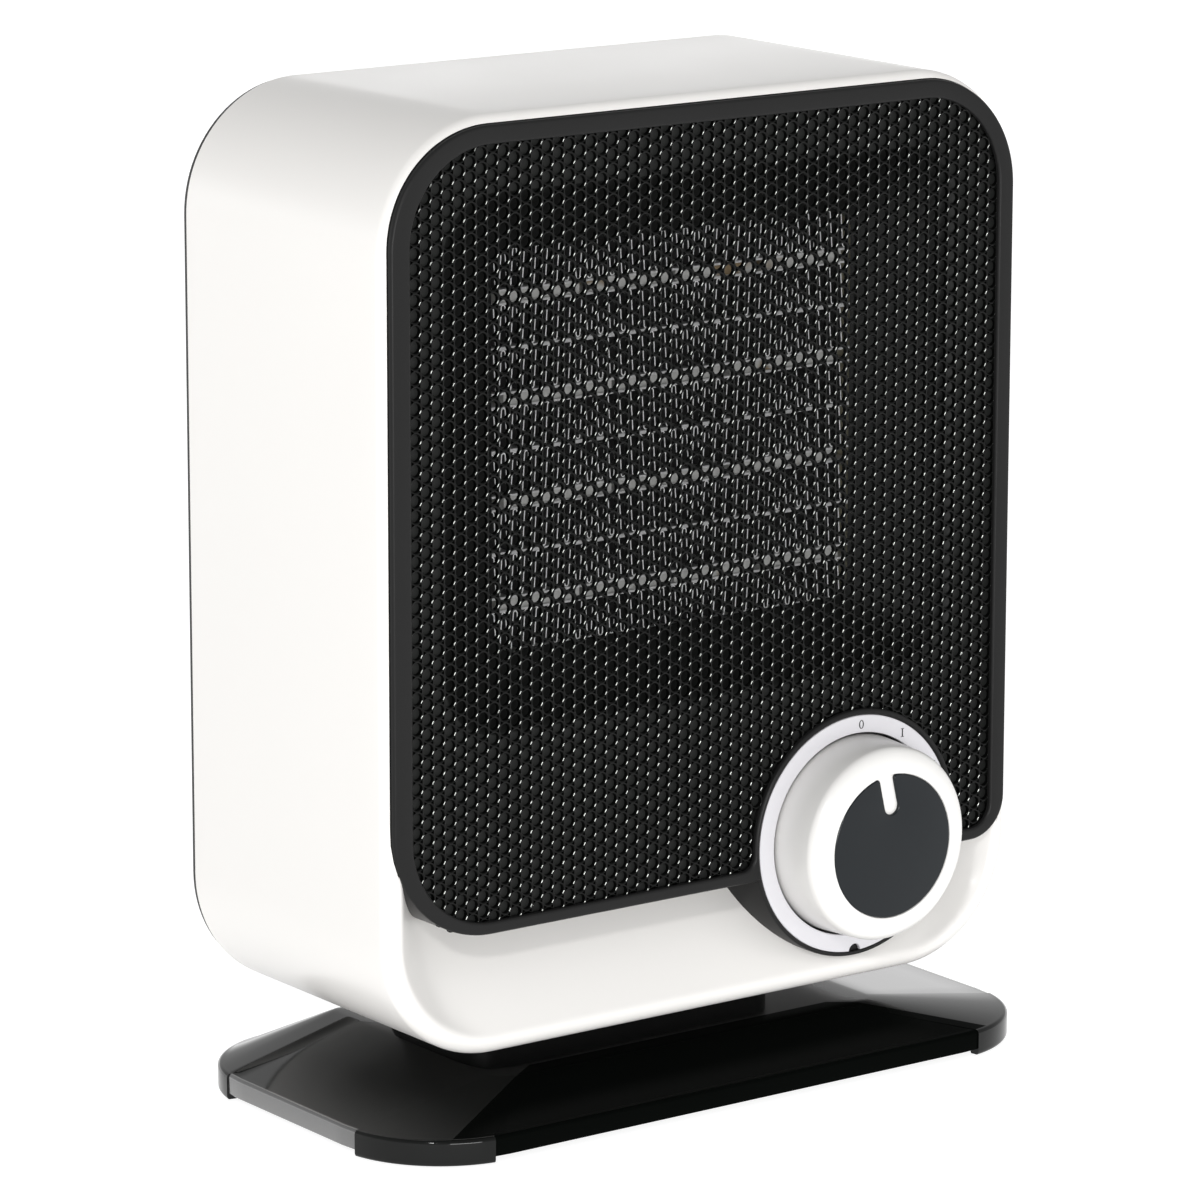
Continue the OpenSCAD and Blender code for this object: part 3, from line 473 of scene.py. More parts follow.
def make_shell():
    outline = round_rect(*SHELL_RECT, steps=28, runs=40)
    facing = normals(outline)
    limits = []
    for (x, z), n in zip(outline, facing):
        reach = 0.0
        while reach < RIM and inside_distance(x - n.x * reach, z - n.y * reach, BEZEL_RECT) < -SEAM:
            reach += 0.02 * MM
        limits.append(reach)

    def ring(inset, y, keep_forward=True):
        points = []
        for (x, z), n, limit in zip(outline, facing, limits):
            d = min(inset, limit)
            depth = y
            if inset >= limit and keep_forward:
                lost = max(0.0, FRONT_ROUND - limit)
                depth = max(y, FRONT + FRONT_ROUND - math.sqrt(FRONT_ROUND ** 2 - lost ** 2))
            points.append(Vector((x - n.x * d, depth, z - n.y * d)))
        return points

    rings = [ring(WALL, BACK), ring(WALL - 0.4 * MM, BACK)]
    for inset, drop in reversed(rounding(BACK_ROUND)):
        rings.append(ring(inset, BACK - drop))
    rings.append(ring(0, FRONT + FRONT_ROUND * 3))
    for inset, drop in rounding(FRONT_ROUND, 10):
        rings.append(ring(inset, FRONT + drop))
    for inset, drop in reversed(rounding(RIM_ROUND, 6)):
        rings.append(ring(RIM - inset, FRONT + drop))
    deep = []
    for (x, z), p in zip(outline, ring(RIM, FRONT + SIDE_DEPTH)):
        share = min(1.0, max(0.0, (z - UNDER - DEEP_TO) / DEEP_FADE))
        deep.append(Vector((p.x, FRONT + CHIN_DEPTH + (SIDE_DEPTH - CHIN_DEPTH) * share, p.z)))
    rings.append(deep)
    rings.append([Vector((x - n.x * WALL, p.y, z - n.y * WALL))
                  for (x, z), n, p in zip(outline, facing, deep)])
    bm = bmesh.new()
    skin(bm, rings, closed_loft=True)

    add_chin(bm, outline)
    return piece("shell_body", bm, SHELL_WHITE, "housing", ["shell"], sharp=40)


# ---------------------------------------------------------------------------------------------
# Bezel, dial housing and grille
# ---------------------------------------------------------------------------------------------

OPEN_LEFT = BEZEL_LOW.x + BAND_LEFT
OPEN_RIGHT = BEZEL_HIGH.x - BAND_RIGHT
OPEN_LOW = BEZEL_BOTTOM + BAND_LOW
OPEN_TOP = BEZEL_TOP - BAND_TOP
OPEN_R = 21.7 * MM
OPEN_R_DIAL = 5.5 * MM
NOOK_R = 3.5 * MM


def grille_outline():
    """What shows of the grille: a rounded rectangle that goes round the dial housing."""
    reach = math.sqrt((SURROUND_R + NOOK_R) ** 2 - (OPEN_LOW + NOOK_R - DIAL_Z) ** 2)
    lift = math.degrees(math.atan2(OPEN_LOW + NOOK_R - DIAL_Z, reach))
    loop = arc(OPEN_LEFT + OPEN_R, OPEN_LOW + OPEN_R, OPEN_R, 180, 270, 16)
    loop += arc(DIAL_X - reach, OPEN_LOW + NOOK_R, NOOK_R, -90, lift, 8)
    over = arc(DIAL_X, DIAL_Z, SURROUND_R, 180 - lift, lift, 64)
    loop += over[1:-1]
    loop += arc(DIAL_X + reach, OPEN_LOW + NOOK_R, NOOK_R, 180 - lift, 270, 8)
    loop += arc(OPEN_RIGHT - OPEN_R_DIAL, OPEN_LOW + OPEN_R_DIAL, OPEN_R_DIAL, -90, 0, 8)
    loop += arc(OPEN_RIGHT - OPEN_R, OPEN_TOP - OPEN_R, OPEN_R, 0, 90, 16)
    loop += arc(OPEN_LEFT + OPEN_R, OPEN_TOP - OPEN_R, OPEN_R, 90, 180, 16)
    return loop


def bezel_outline():
    """The bezel's outer edge, which goes over the dial housing instead of round below it."""
    x0, x1, z0, z1, _ = BEZEL_RECT
    r = RING_R + 0.12 * MM
    reach = math.sqrt(r ** 2 - (z0 - DIAL_Z) ** 2)
    drop = math.degrees(math.atan2(z0 - DIAL_Z, reach))
    loop = arc(x0 + BEZEL_R, z0 + BEZEL_R, BEZEL_R, 180, 270, 36)
    loop += arc(DIAL_X, DIAL_Z, r, 180 - drop, drop, 72)
    loop += arc(x1 - BEZEL_R_DIAL, z0 + BEZEL_R_DIAL, BEZEL_R_DIAL, -90, 0, 12)
    loop += arc(x1 - BEZEL_R, z1 - BEZEL_R, BEZEL_R, 0, 90, 36)
    loop += arc(x0 + BEZEL_R, z1 - BEZEL_R, BEZEL_R, 90, 180, 36)
    return loop


def make_bezel():
    bm = bmesh.new()
    outer = bezel_outline()
    opening = grille_outline()
    # The lip in front, and the deeper wall behind it that the grille sits in.
    slab(bm, outer, [opening], BEZEL_FRONT, BEZEL_FRONT + LIP, front_r=0.7 * MM, steps=5)
    slab(bm, outer, [moved(opening, -LIP_HIDDEN)], BEZEL_FRONT + LIP, BEZEL_FRONT + BEZEL_DEPTH)

    # The lower wall runs on back to the ramp.
    path = round_rect(*BEZEL_RECT, steps=36, runs=30)
    facing = normals(path)
    rows = []
    for (x, z), n in zip(path, facing):
        if z < DIAL_Z + 8 * MM and inside_distance(x, z, SHELL_RECT) > RIM + 0.05 * MM:
            rows.append((x, z, n))
    rows.sort(key=lambda r: math.atan2(r[1] - OPEN_TOP, r[0]))
    y0, y1 = BEZEL_FRONT + BEZEL_DEPTH - 0.1 * MM, POD_BACK
    rings = []
    for x, z, n in rows:
        inner = (x - n.x * POD_WALL, z - n.y * POD_WALL)
        rings.append([Vector((x, y0, z)), Vector((x, y1, z)), Vector((inner[0], y1, inner[1])),
                      Vector((inner[0], y0, inner[1]))])
    skin(bm, rings, caps=True)

    # The round housing of the dial: a tube with a ledge for the ring and a well for the knob.
    face, ledge, well = RING_LOW.y, RING_R + 0.1 * MM, KNOB_HIGH.y + 0.6 * MM
    bore, floor = 5.2 * MM, 2 * MM
    soft, softer = 0.15 * MM, 0.5 * MM
    turned(bm, (DIAL_X, 0, DIAL_Z), [
        (bore, well + floor), (bore, well), (WELL_R, well), (WELL_R, RING_HIGH.y), (ledge, RING_HIGH.y),
        (ledge, face + soft), (ledge + soft, face), (POD_R - softer, face),
        (POD_R - soft, face + soft), (POD_R, face + softer), (POD_R, POD_BACK),
        (POD_R - POD_WALL, POD_BACK), (POD_R - POD_WALL, well + floor),
    ])
    return piece("bezel", bm, BEZEL_BLACK, "housing", ["front_bezel"], sharp=38)


def make_grille():
    """The perforated sheet, one six-sided cell at a time, with a rounded edge at each hole."""
    tuck = 0.9 * MM
    limit = (BEZEL_LOW.x + tuck, BEZEL_HIGH.x - tuck, BEZEL_BOTTOM + tuck, BEZEL_TOP - tuck,
             (BEZEL_R_DIAL - tuck,) + (BEZEL_R - tuck,) * 3)
    opening = (OPEN_LEFT, OPEN_RIGHT, OPEN_LOW, OPEN_TOP, (OPEN_R_DIAL, OPEN_R, OPEN_R, OPEN_R))
    y_front = BEZEL_FRONT + LIP
    y_back = y_front + SHEET
    bm = bmesh.new()
    columns = int((OPEN_RIGHT - OPEN_LEFT) / COLUMN_STEP) + 2
    rows = int((OPEN_TOP - OPEN_LOW) / HOLE_STEP) + 3
    inner_angles = [2 * math.pi * (i + 0.5) / HOLE_SIDES for i in range(HOLE_SIDES)]

    def cell_edge(angle):
        """Distance from a cell's middle to its six-sided edge."""
        turn = math.pi / 3
        fold = (angle - math.pi / 2 + turn / 2) % turn - turn / 2
        flat = HOLE_STEP / 2
        return flat / math.cos(fold)

    stretch = COLUMN_STEP / (HOLE_STEP * math.sqrt(3) / 2)

    def held(x, z):
        """Keeps a point of the sheet behind the bezel's bands."""
        short = inside_distance(x, z, limit)
        if short >= 0:
            return x, z
        step = 0.05 * MM
        gx = inside_distance(x + step, z, limit) - inside_distance(x - step, z, limit)
        gz = inside_distance(x, z + step, limit) - inside_distance(x, z - step, limit)
        size = math.hypot(gx, gz)
        return x - gx / size * short, z - gz / size * short

    for i in range(columns):
        x = OPEN_LEFT + (i - FIRST_COLUMN) * COLUMN_STEP
        for j in range(rows):
            z = OPEN_LOW + (j - FIRST_ROW + (0.5 if i % 2 else 0)) * HOLE_STEP
            if inside_distance(x, z, opening) < -CELL_REACH:
                continue
            if math.hypot(x - DIAL_X, z - DIAL_Z) < SURROUND_R - CELL_REACH:
                continue
            rim = [held(x + cell_edge(a) * math.cos(a) * stretch, z + cell_edge(a) * math.sin(a))
                   for a in inner_angles]
            rings = [at_depth(rim, y_back), at_depth(rim, y_front)]
            for extra, depth in rounding(HOLE_ROUND, 3)[::-1]:
                r = HOLE_R + extra
                rings.append([Vector((x + r * math.cos(a), y_front + depth, z + r * math.sin(a)))
                              for a in inner_angles])
            rings.append([Vector((x + HOLE_R * math.cos(a), y_back, z + HOLE_R * math.sin(a)))
                          for a in inner_angles])
            skin(bm, rings, closed_loft=True)
    bmesh.ops.remove_doubles(bm, verts=bm.verts, dist=2e-6)
    obj = piece("grille_sheet", bm, GRILLE_BLACK, "housing", ["grille"], sharp=60)
    # One spot of each hole's rounded edge takes a bright metallic finish, low on the right: a painted
    # glint.
    obj.data.materials.append(GRILLE_PAINTED_GLINT)
    for face in obj.data.polygons:
        turn = math.degrees(math.atan2(-face.normal.z, -face.normal.x))
        if 0.5 < abs(face.normal.y) < 0.9 and abs(turn - GLINT_TURN) < GLINT_HALF:
            face.material_index = 1
    return obj


# ---------------------------------------------------------------------------------------------
# Heating fins: a folded strip in each band between two plates
# ---------------------------------------------------------------------------------------------

FIN_FOLD = 3.2 * MM
FIN_THICK = 0.28 * MM
ROWS = 8


def make_fins():
    """One folded strip to a band. The bands lie evenly between the element's bottom and top."""
    bm = bmesh.new()
    low, high = PLATES_LOW.z, PLATES_HIGH.z
    pitch = (high - low) / ROWS
    bar, sheet = 3.6 * MM, 0.8 * MM
    x0, x1 = PLATES_LOW.x + 0.6 * MM, PLATES_HIGH.x - 0.6 * MM
    folds = int((x1 - x0) / FIN_FOLD)
    for b in range(ROWS):
        z0, z1 = low + b * pitch, low + (b + 1) * pitch
        z0 += bar / 2 if b % 2 else (sheet if b == 0 else sheet / 2)
        z1 -= (sheet if b == ROWS - 1 else sheet / 2) if b % 2 else bar / 2
        z0 += FIN_THICK / 2
        z1 -= FIN_THICK / 2
        # The folds are round and the legs between them lean a little, to and fro.
        bend = FIN_FOLD * 0.16
        line = []
        for k in range(folds):
            x = x0 + k * FIN_FOLD
            line += arc(x + FIN_FOLD / 4, z1 - bend, bend, 180, 0, 6)
            line += arc(x + FIN_FOLD * 3 / 4, z0 + bend, bend, 180, 360, 6)
        rings = []
        for i, (px, pz) in enumerate(line):
            a = line[max(0, i - 1)]
            c = line[min(len(line) - 1, i + 1)]
            along = Vector((c[0] - a[0], c[1] - a[1])).normalized()
            side = Vector((-along.y, along.x)) * FIN_THICK / 2
            one, other = (px + side.x, pz + side.y), (px - side.x, pz - side.y)
            rings.append(at_depth((one, other), FINS_LOW.y) + at_depth((other, one), FINS_HIGH.y))
        skin(bm, rings, caps=True)
    obj = piece("fin_strips", bm, FIN_ALU_PAINTED_SHADE, "housing", ["heating_fins"], sharp=40)
    # The strip's front edge takes a bright copy of the metal as a painted highlight. The rest of the strip
    # is darkened as painted shade.
    obj.data.materials.append(FIN_EDGE_PAINTED_HIGHLIGHT)
    for face in obj.data.polygons:
        if face.normal.y < -0.9:
            face.material_index = 1
    return obj


# ---------------------------------------------------------------------------------------------
# Dial ring, its marks, knob and face disc
# ---------------------------------------------------------------------------------------------

KNOB_R = (KNOB_HIGH.x - KNOB_LOW.x) / 2
FACE_R = (FACE_HIGH.x - FACE_LOW.x) / 2
KNOB_TOP = KNOB_LOW.y
KNOB_FOOT = KNOB_HIGH.y
# The marks' places: distance from the dial's centre, and clock angles in degrees.
MARKS_R = 26.4 * MM
MARK_OFF = 2.7
MARK_ONE = 31.2
MARK_TWO = 59.6
OVAL_SIDES = 24
# The pointer's slot: its lean to the left in degrees, and the middle of its round end.
SLOT_LEAN = 13
SLOT_END = (-0.3 * MM, 9.6 * MM)


def dial_point(r, clock):
    """A point in the dial's plane at a radius and a clock angle in degrees."""
    a = math.radians(90 - clock)
    return DIAL_X + r * math.cos(a), DIAL_Z + r * math.sin(a)


def make_dial_ring():
    bm = bmesh.new()
    notch_r = 1.7 * MM
    half = math.degrees(notch_r / RING_R)
    loop = arc(DIAL_X, DIAL_Z, RING_R, -90 + half, 270 - half, 120)
    loop += arc(DIAL_X, DIAL_Z - RING_R, notch_r, 175, 5, 8)[1:-1]
    hole = arc(DIAL_X, DIAL_Z, WELL_R - 0.1 * MM, 0, 360, 128)[:-1]
    slab(bm, loop, [hole], RING_LOW.y, RING_HIGH.y, front_r=0.25 * MM)
    return piece("dial_disc", bm, RING_LAVENDER, "housing", ["dial_ring"])


def make_marks():
    """The printed marks: 0, I and II, upright at their places round the ring."""
    bm = bmesh.new()
    y0 = RING_LOW.y - 0.03 * MM
    y1 = RING_LOW.y + 0.05 * MM

    def bar(cx, cz, width, height):
        w, h = width / 2, height / 2
        slab(bm, [(cx - w, cz - h), (cx + w, cz - h), (cx + w, cz + h), (cx - w, cz + h)], [], y0, y1)

    def stroke(cx, cz):
        bar(cx, cz, 0.34 * MM, 2.0 * MM)
        for side in (-1, 1):
            bar(cx, cz + side * 0.98 * MM, 0.95 * MM, 0.14 * MM)

    def oval(cx, cz, half_width, half_height):
        turns = (2 * math.pi * i / OVAL_SIDES for i in range(OVAL_SIDES))
        return [(cx + half_width * math.cos(a), cz + half_height * math.sin(a)) for a in turns]

    x, z = dial_point(MARKS_R, MARK_OFF)
    slab(bm, oval(x, z, 0.72 * MM, 1.08 * MM), [oval(x, z, 0.4 * MM, 0.9 * MM)], y0, y1)
    stroke(*dial_point(MARKS_R, MARK_ONE))
    x, z = dial_point(MARKS_R, MARK_TWO)
    for side in (-1, 1):
        stroke(x + side * 0.6 * MM, z)
    return piece("dial_marks", bm, MARK_BLACK, "housing")


def make_knob():
    bm = bmesh.new()
    recess = FACE_R + 0.12 * MM
    top = KNOB_TOP - KNOB_FOOT
    shoulder_x, shoulder_h = 5.6 * MM, 3.5 * MM
    side_top = 23.2 * MM
    steps = 12
    profile = [(0.0, 0.0), (KNOB_R - 0.5 * MM, 0.0), (KNOB_R - 0.12 * MM, -0.15 * MM), (KNOB_R, -0.5 * MM)]
    for i in range(steps + 1):
        a = math.pi / 2 * i / steps
        r = side_top - shoulder_x + shoulder_x * math.cos(a)
        profile.append((r, top + shoulder_h - shoulder_h * math.sin(a)))
    sunk = top + 0.8 * MM
    profile += [(recess + 0.08 * MM, top), (recess, top + 0.12 * MM), (recess, sunk), (0.0, sunk)]
    turned(bm, (DIAL_X, KNOB_FOOT, DIAL_Z), profile, sides=128)
    return piece("knob_cap", bm, KNOB_WHITE, "knob", ["knob"], sharp=50)


def make_face():
    """The black disc on the knob. Its slot is the pointer, with a round end and rounded mouth corners."""
    bm = bmesh.new()
    half = 2.05 * MM
    corner = 0.9 * MM
    lean = math.radians(SLOT_LEAN)
    end_x, end_z = SLOT_END
    axis = end_x * math.cos(lean) + end_z * math.sin(lean)
    depth = end_z * math.cos(lean) - end_x * math.sin(lean)
    right, left = axis + half + corner, axis - half - corner
    reach = FACE_R - corner
    turn_right = math.degrees(math.asin(right / reach))
    turn_left = math.degrees(math.asin(left / reach))
    loop = arc(0, 0, FACE_R, 90 - turn_left, 450 - turn_right, 110)
    loop += arc(right, math.sqrt(reach ** 2 - right ** 2), corner, 90 - turn_right, 180, 6)[1:]
    loop += arc(axis, depth, half, 0, -180, 14)
    loop += arc(left, math.sqrt(reach ** 2 - left ** 2), corner, 0, 90 - turn_left, 6)[:-1]
    cos, sin = math.cos(lean), math.sin(lean)
    loop = [(DIAL_X + x * cos - z * sin, DIAL_Z + x * sin + z * cos) for x, z in loop]
    slab(bm, loop, [], FACE_LOW.y + 0.02 * MM, FACE_HIGH.y - 0.05 * MM, front_r=0.3 * MM, steps=4)
    return piece("knob_disc", bm, FACE_BLACK, "knob", ["knob_face"], sharp=40)


# ---------------------------------------------------------------------------------------------
# Base, rear cover, impeller and feet
# ---------------------------------------------------------------------------------------------

BASE_R = 28 * MM
RIM_TOP = 6.5 * MM
RIM_LOW = 1.6 * MM
RIM_TOP_ROUND = 1.0 * MM
FLAT_X = 55 * MM
FLAT_FRONT = -29 * MM
FLAT_BACK = 40 * MM
FLAT_FRONT_R = 5 * MM
FLAT_BACK_R = 2 * MM
# Where the ridge between two slopes meets a round corner, in degrees of that corner's turn.
RIDGE_FRONT_RIGHT = 20
RIDGE_BACK = 26
RIDGE_FRONT_LEFT = 30
FOOT_X = 70.5 * MM
FOOT_Y = 26.5 * MM
FOOT_LOW = 0.3 * MM
FOOT_PROUD = 0.35 * MM
FOOT_STEPS = 24
RUN_STEPS = 16
# The slopes' profile from the rim's top: how far along, and how high, as shares of the whole.
SLOPE_PROFILE = (
    (0.04, 0.035), (0.2, 0.2), (0.4, 0.4), (0.6, 0.6), (0.8, 0.8), (0.88, 0.88),
    (0.94, 0.935), (0.98, 0.968), (1.0, 0.981),
)
# The last rounding on to the flat top: how far towards its middle, and how high.
TOP_PROFILE = ((0.03, 0.991), (0.07, 0.998), (0.12, 1.0))


def base_path():
    """The base's outline, anticlockwise.

    Each entry holds a point, its outward normal, whether it is on a foot, its place on the flat top's edge
    and whether it is in front. Two points lie together wherever a foot begins or ends, so that its side can
    be a sharp step. Part of each round corner belongs to the slopes beside it, and the rest to a cone below
    the flat top's corner."""
    from_front = math.degrees(math.asin((FOOT_X - BASE_HIGH.x + BASE_R) / BASE_R))
    from_side = math.degrees(math.asin((FOOT_Y - BASE_HIGH.y + BASE_R) / BASE_R))
    cx, cy = BASE_HIGH.x - BASE_R, BASE_HIGH.y - BASE_R
    front, back, fr, br = FLAT_FRONT, FLAT_BACK, FLAT_FRONT_R, FLAT_BACK_R
    spare = 10 * MM
    corners = [
        ((cx, -cy), -90, (FLAT_X - fr, front + fr), fr, RIDGE_FRONT_RIGHT, 90, Vector((-spare, 0))),
        ((cx, cy), 0, (FLAT_X - br, back - br), br, RIDGE_BACK, 90, Vector((0, -spare))),
        ((-cx, cy), 90, (br - FLAT_X, back - br), br, 0, 90 - RIDGE_BACK, Vector((0, -spare))),
        ((-cx, -cy), 180, (fr - FLAT_X, front + fr), fr, 0, 90 - RIDGE_FRONT_LEFT, Vector((spare, 0))),
    ]
    out = []
    for i, (centre, start, flat_centre, flat_r, cone_from, cone_to, along) in enumerate(corners):
        first, last = (from_front, 90 - from_side) if i % 2 == 0 else (from_side, 90 - from_front)
        turns = [(0, False), (first, False)]
        turns += [(first + (last - first) * k / FOOT_STEPS, True) for k in range(FOOT_STEPS + 1)]
        turns += [(last, False), (90, False)]
        for turn, foot in turns:
            a = math.radians(start + turn)
            n = Vector((math.cos(a), math.sin(a)))
            share = min(1.0, max(0.0, (turn - cone_from) / (cone_to - cone_from)))
            b = math.radians(start + 90 * share)
            place = Vector(flat_centre) + Vector((math.cos(b), math.sin(b))) * flat_r
            if turn < cone_from:
                place += along * (1 - turn / cone_from)
            elif turn > cone_to:
                place += along * (turn - cone_to) / (90 - cone_to)
            in_front = (i == 0 and turn <= cone_from) or (i == 3 and turn >= cone_to)
            out.append((Vector(centre) + n * BASE_R, n, foot, place, in_front))
    whole = []
    for i, (p, n, foot, place, in_front) in enumerate(out):
        whole.append((p, n, foot, place, in_front))
        if i % (len(out) // 4) == len(out) // 4 - 1:
            q, m, _, far, _ = out[(i + 1) % len(out)]
            for k in range(1, RUN_STEPS):
                share = k / RUN_STEPS
                whole.append((p.lerp(q, share), m, False, place.lerp(far, share), in_front))
    return whole


def make_base():
    """A flat top with slopes down to an upright rim, whose corners stand proud and reach down as feet."""
    bm = bmesh.new()
    edge = base_path()

    def rim(inset, level):
        ring = []
        for p, n, foot, _, _ in edge:
            q = p - n * (inset if foot else inset + FOOT_PROUD)
            ring.append(Vector((q.x, q.y, level(foot))))
        return ring

    def slope(share, z):
        ring = []
        for p, n, foot, q, _ in edge:
            start = p - n * (RIM_TOP_ROUND + (0 if foot else FOOT_PROUD))
            place = start.lerp(q, share)
            ring.append(Vector((place.x, place.y, z)))
        return ring

    def low_edge(inset, drop):
        """A ring of the lower edge, which is rounder below the feet than between them."""
        return rim(inset * 0.6, lambda foot: FOOT_LOW + drop if foot else RIM_LOW + drop * 0.35)

    skirt = 2.4 * MM
    rings = [rim(skirt, lambda foot: FOOT_LOW if foot else RIM_LOW)]
    rings += [low_edge(inset, drop) for inset, drop in reversed(rounding(1.0 * MM, 4))]
    for inset, drop in rounding(RIM_TOP_ROUND, 6):
        rings.append(rim(inset, lambda foot: RIM_TOP - drop))
    upright = (len(rings) - 1) * len(edge)
    rise = BASE_HIGH.z - RIM_TOP
    for share, height in SLOPE_PROFILE:
        rings.append(slope(share, RIM_TOP + rise * height))
    centre = Vector((0, (FLAT_FRONT + FLAT_BACK) / 2))
    for share, lift in TOP_PROFILE:
        ring = []
        for _, _, _, q, _ in edge:
            place = q.lerp(centre, share)
            ring.append(Vector((place.x, place.y, RIM_TOP + rise * lift)))
        rings.append(ring)
    outside = skin(bm, rings)
    # The front slope and the rim below it are painted shade, a darker black that barely reflects. The rim's
    # two ends carry a painted sheen, brighter and glossier, for the reflection they catch.
    bm.faces.ensure_lookup_table()
    for k, face in enumerate(bm.faces):
        ends = edge[k % len(edge)], edge[(k + 1) % len(edge)]
        if k < upright and any(foot for _, _, foot, _, _ in ends):
            continue
        # Painted shade on the front slope and the rim below it.
        if all(in_front for *_, in_front in ends):
            face.material_index = 1
        # Painted sheen on the rim's two ends.
        elif k < upright and all(abs(n.x) > 0.9 for _, n, *_ in ends):
            face.material_index = 2
    bm.faces.new(outside[-1])
    # The underside: a thin wall up behind the rim, closed well above the base plate.
    under = skin(bm, [[v.co for v in outside[0]], rim(skirt, lambda foot: RIM_LOW + 2.6 * MM)])
    bm.faces.new(under[-1][::-1])
    bmesh.ops.remove_doubles(bm, verts=bm.verts, dist=1e-6)
    obj = piece("base_shell", bm, BASE_BLACK, "housing", ["base_cover"], sharp=32)
    obj.data.materials.append(BASE_PAINTED_SHADE)
    obj.data.materials.append(RIM_PAINTED_SHEEN)
    return obj


COVER_INSET = 0.5 * MM
COVER_THICK = 1.2 * MM
FIELD_INSET = 1.7 * MM
FIELD_THICK = 3 * MM
FIELD_ROUND = 0.4 * MM
SLOT_STEP = 6.2 * MM
SLOT_HALF = 1.7 * MM
SLOT_LEAST = 6 * MM
SLOTS_R = 52 * MM
SLOTS_EACH_WAY = 8
STRUT_NEAR = 16 * MM
STRUT_FAR = 20 * MM
SCREW_INSET = 13.5 * MM


def make_rear_cover():
    """A thin black cover with a raised field, level air slots in a round patch and four screw wells."""
    bm = bmesh.new()
    outer = moved(round_rect(*SHELL_RECT, steps=24, runs=4), COVER_INSET)
    holes = []
    for k in range(-SLOTS_EACH_WAY, SLOTS_EACH_WAY + 1):
        z = FAN_Z + k * SLOT_STEP
        reach = math.sqrt(max(0.0, SLOTS_R ** 2 - (abs(k * SLOT_STEP) + SLOT_HALF) ** 2))
        for x0, x1 in ((-SLOTS_R, -STRUT_FAR), (-STRUT_NEAR, STRUT_NEAR), (STRUT_FAR, SLOTS_R)):
            a, b = max(x0, -reach), min(x1, reach)
            if b - a < SLOT_LEAST:
                continue
            r = SLOT_HALF * 0.98
            holes.append(arc(b - r, z, SLOT_HALF, -90, 90, 8) + arc(a + r, z, SLOT_HALF, 90, 270, 8))
    wells = []
    for x in (SHELL_LOW.x + SCREW_INSET, SHELL_HIGH.x - SCREW_INSET):
        for z in (SHELL_LOW.z + SCREW_INSET, SHELL_HIGH.z - SCREW_INSET):
            wells.append(arc(x, z, 3.4 * MM, 0, 360, 28)[:-1])
            bore, ring = 1.8 * MM, 3.6 * MM
            near, far = BACK + 0.02 * MM, BACK + COVER_THICK
            turned(bm, (x, 0, z), [(bore, near), (ring, near), (ring, far), (bore, far)], sides=28)
    gland_low, gland_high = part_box("cable_inlet")
    gland = ((gland_low.x + gland_high.x) / 2, (gland_low.z + gland_high.z) / 2)
    wells.append(arc(*gland, 6 * MM, 0, 360, 36)[:-1])
    field = moved(outer, FIELD_INSET)
    slab(bm, field, holes + wells, BACK, BACK + FIELD_THICK, back_r=FIELD_ROUND, steps=4)
    border = [moved(outer, FIELD_INSET + 1 * MM)]
    slab(bm, outer, border, BACK, BACK + COVER_THICK, back_r=0.5 * MM, steps=3)
    return piece("back_cover", bm, REAR_BLACK, "housing", ["rear_cover"], sharp=32)


def make_feet():
    bm = bmesh.new()
    low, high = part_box("rubber_feet")
    r = 7 * MM
    for x in (low.x + r, high.x - r):
        for y in (low.y + r, high.y - r):
            turned(bm, (x, y, 0), [
                (0, high.z), (r, high.z), (r, 0.5 * MM),
                (r - 0.15 * MM, 0.15 * MM), (r - 0.5 * MM, 0), (0, 0),
            ], sides=40, axis="z")
    return piece("foot_pads", bm, RUBBER_BLACK, "housing", ["rubber_feet"])


BLADES = 7
HUB_R = 15 * MM
# A blade's pitch in degrees and its width in mm, each at the hub and then the change towards the tip.
PITCH, PITCH_CHANGE = 40, -14
CHORD, CHORD_CHANGE = 13, 12


def make_impeller():
    """Curved blades on a domed hub."""
    bm = bmesh.new()
    centre = (0, (FAN_LOW.y + FAN_HIGH.y) / 2, FAN_Z)
    half = (FAN_HIGH.y - FAN_LOW.y) / 2
    hub = HUB_R
    bore, wall, dome = 2.0 * MM, hub - 2 * MM, -half + 2.4 * MM
    turned(bm, centre, [
        (bore, -half), (hub - 3 * MM, -half), (hub - 1 * MM, -half + 0.6 * MM), (hub, -half + 2 * MM),
        (hub, half), (wall, half), (wall, dome), (bore, dome),
    ], sides=64)
    tip = (FAN_HIGH.z - FAN_LOW.z) / 2
    for b in range(BLADES):
        turn = 2 * math.pi * b / BLADES
        rings = []
        for i in range(9):
            share = i / 8
            r = hub - 0.5 * MM + (tip - hub - 0.3 * MM) * share
            pitch = math.radians(PITCH + PITCH_CHANGE * share)
            chord = (CHORD + CHORD_CHANGE * share) * MM
            ring = []
            for k in list(range(9)) + list(range(8, -1, -1)):
                side = 1 if len(ring) < 9 else -1
                t = k / 8 - 0.5
                bow = (0.25 - t * t) * 4 * MM
                along = t * chord
                y = along * math.sin(pitch) * 0.98 - bow + side * 0.7 * MM
                y = max(-half + 0.1 * MM, min(half - 0.1 * MM, y))
                sweep = along * math.cos(pitch) / r + turn + 0.15 * share
                across, up = r * math.cos(sweep), r * math.sin(sweep)
                ring.append(Vector((centre[0] + across, centre[1] + y, centre[2] + up)))
            rings.append(ring)
        skin(bm, rings, caps=True)
    return piece("fan_blades", bm, FAN_GREY, "rotor", ["fan_impeller"], sharp=50)


# ---------------------------------------------------------------------------------------------
# Building
# ---------------------------------------------------------------------------------------------

make_shell()
make_bezel()
make_grille()
make_fins()
make_dial_ring()
make_marks()
make_knob()
make_face()
make_base()
make_rear_cover()
make_feet()
make_impeller()

# ---------------------------------------------------------------------------------------------
# Floor, light and camera
# ---------------------------------------------------------------------------------------------

FLOOR_HALF = 6.0
FLOOR_GLOW = 0.9


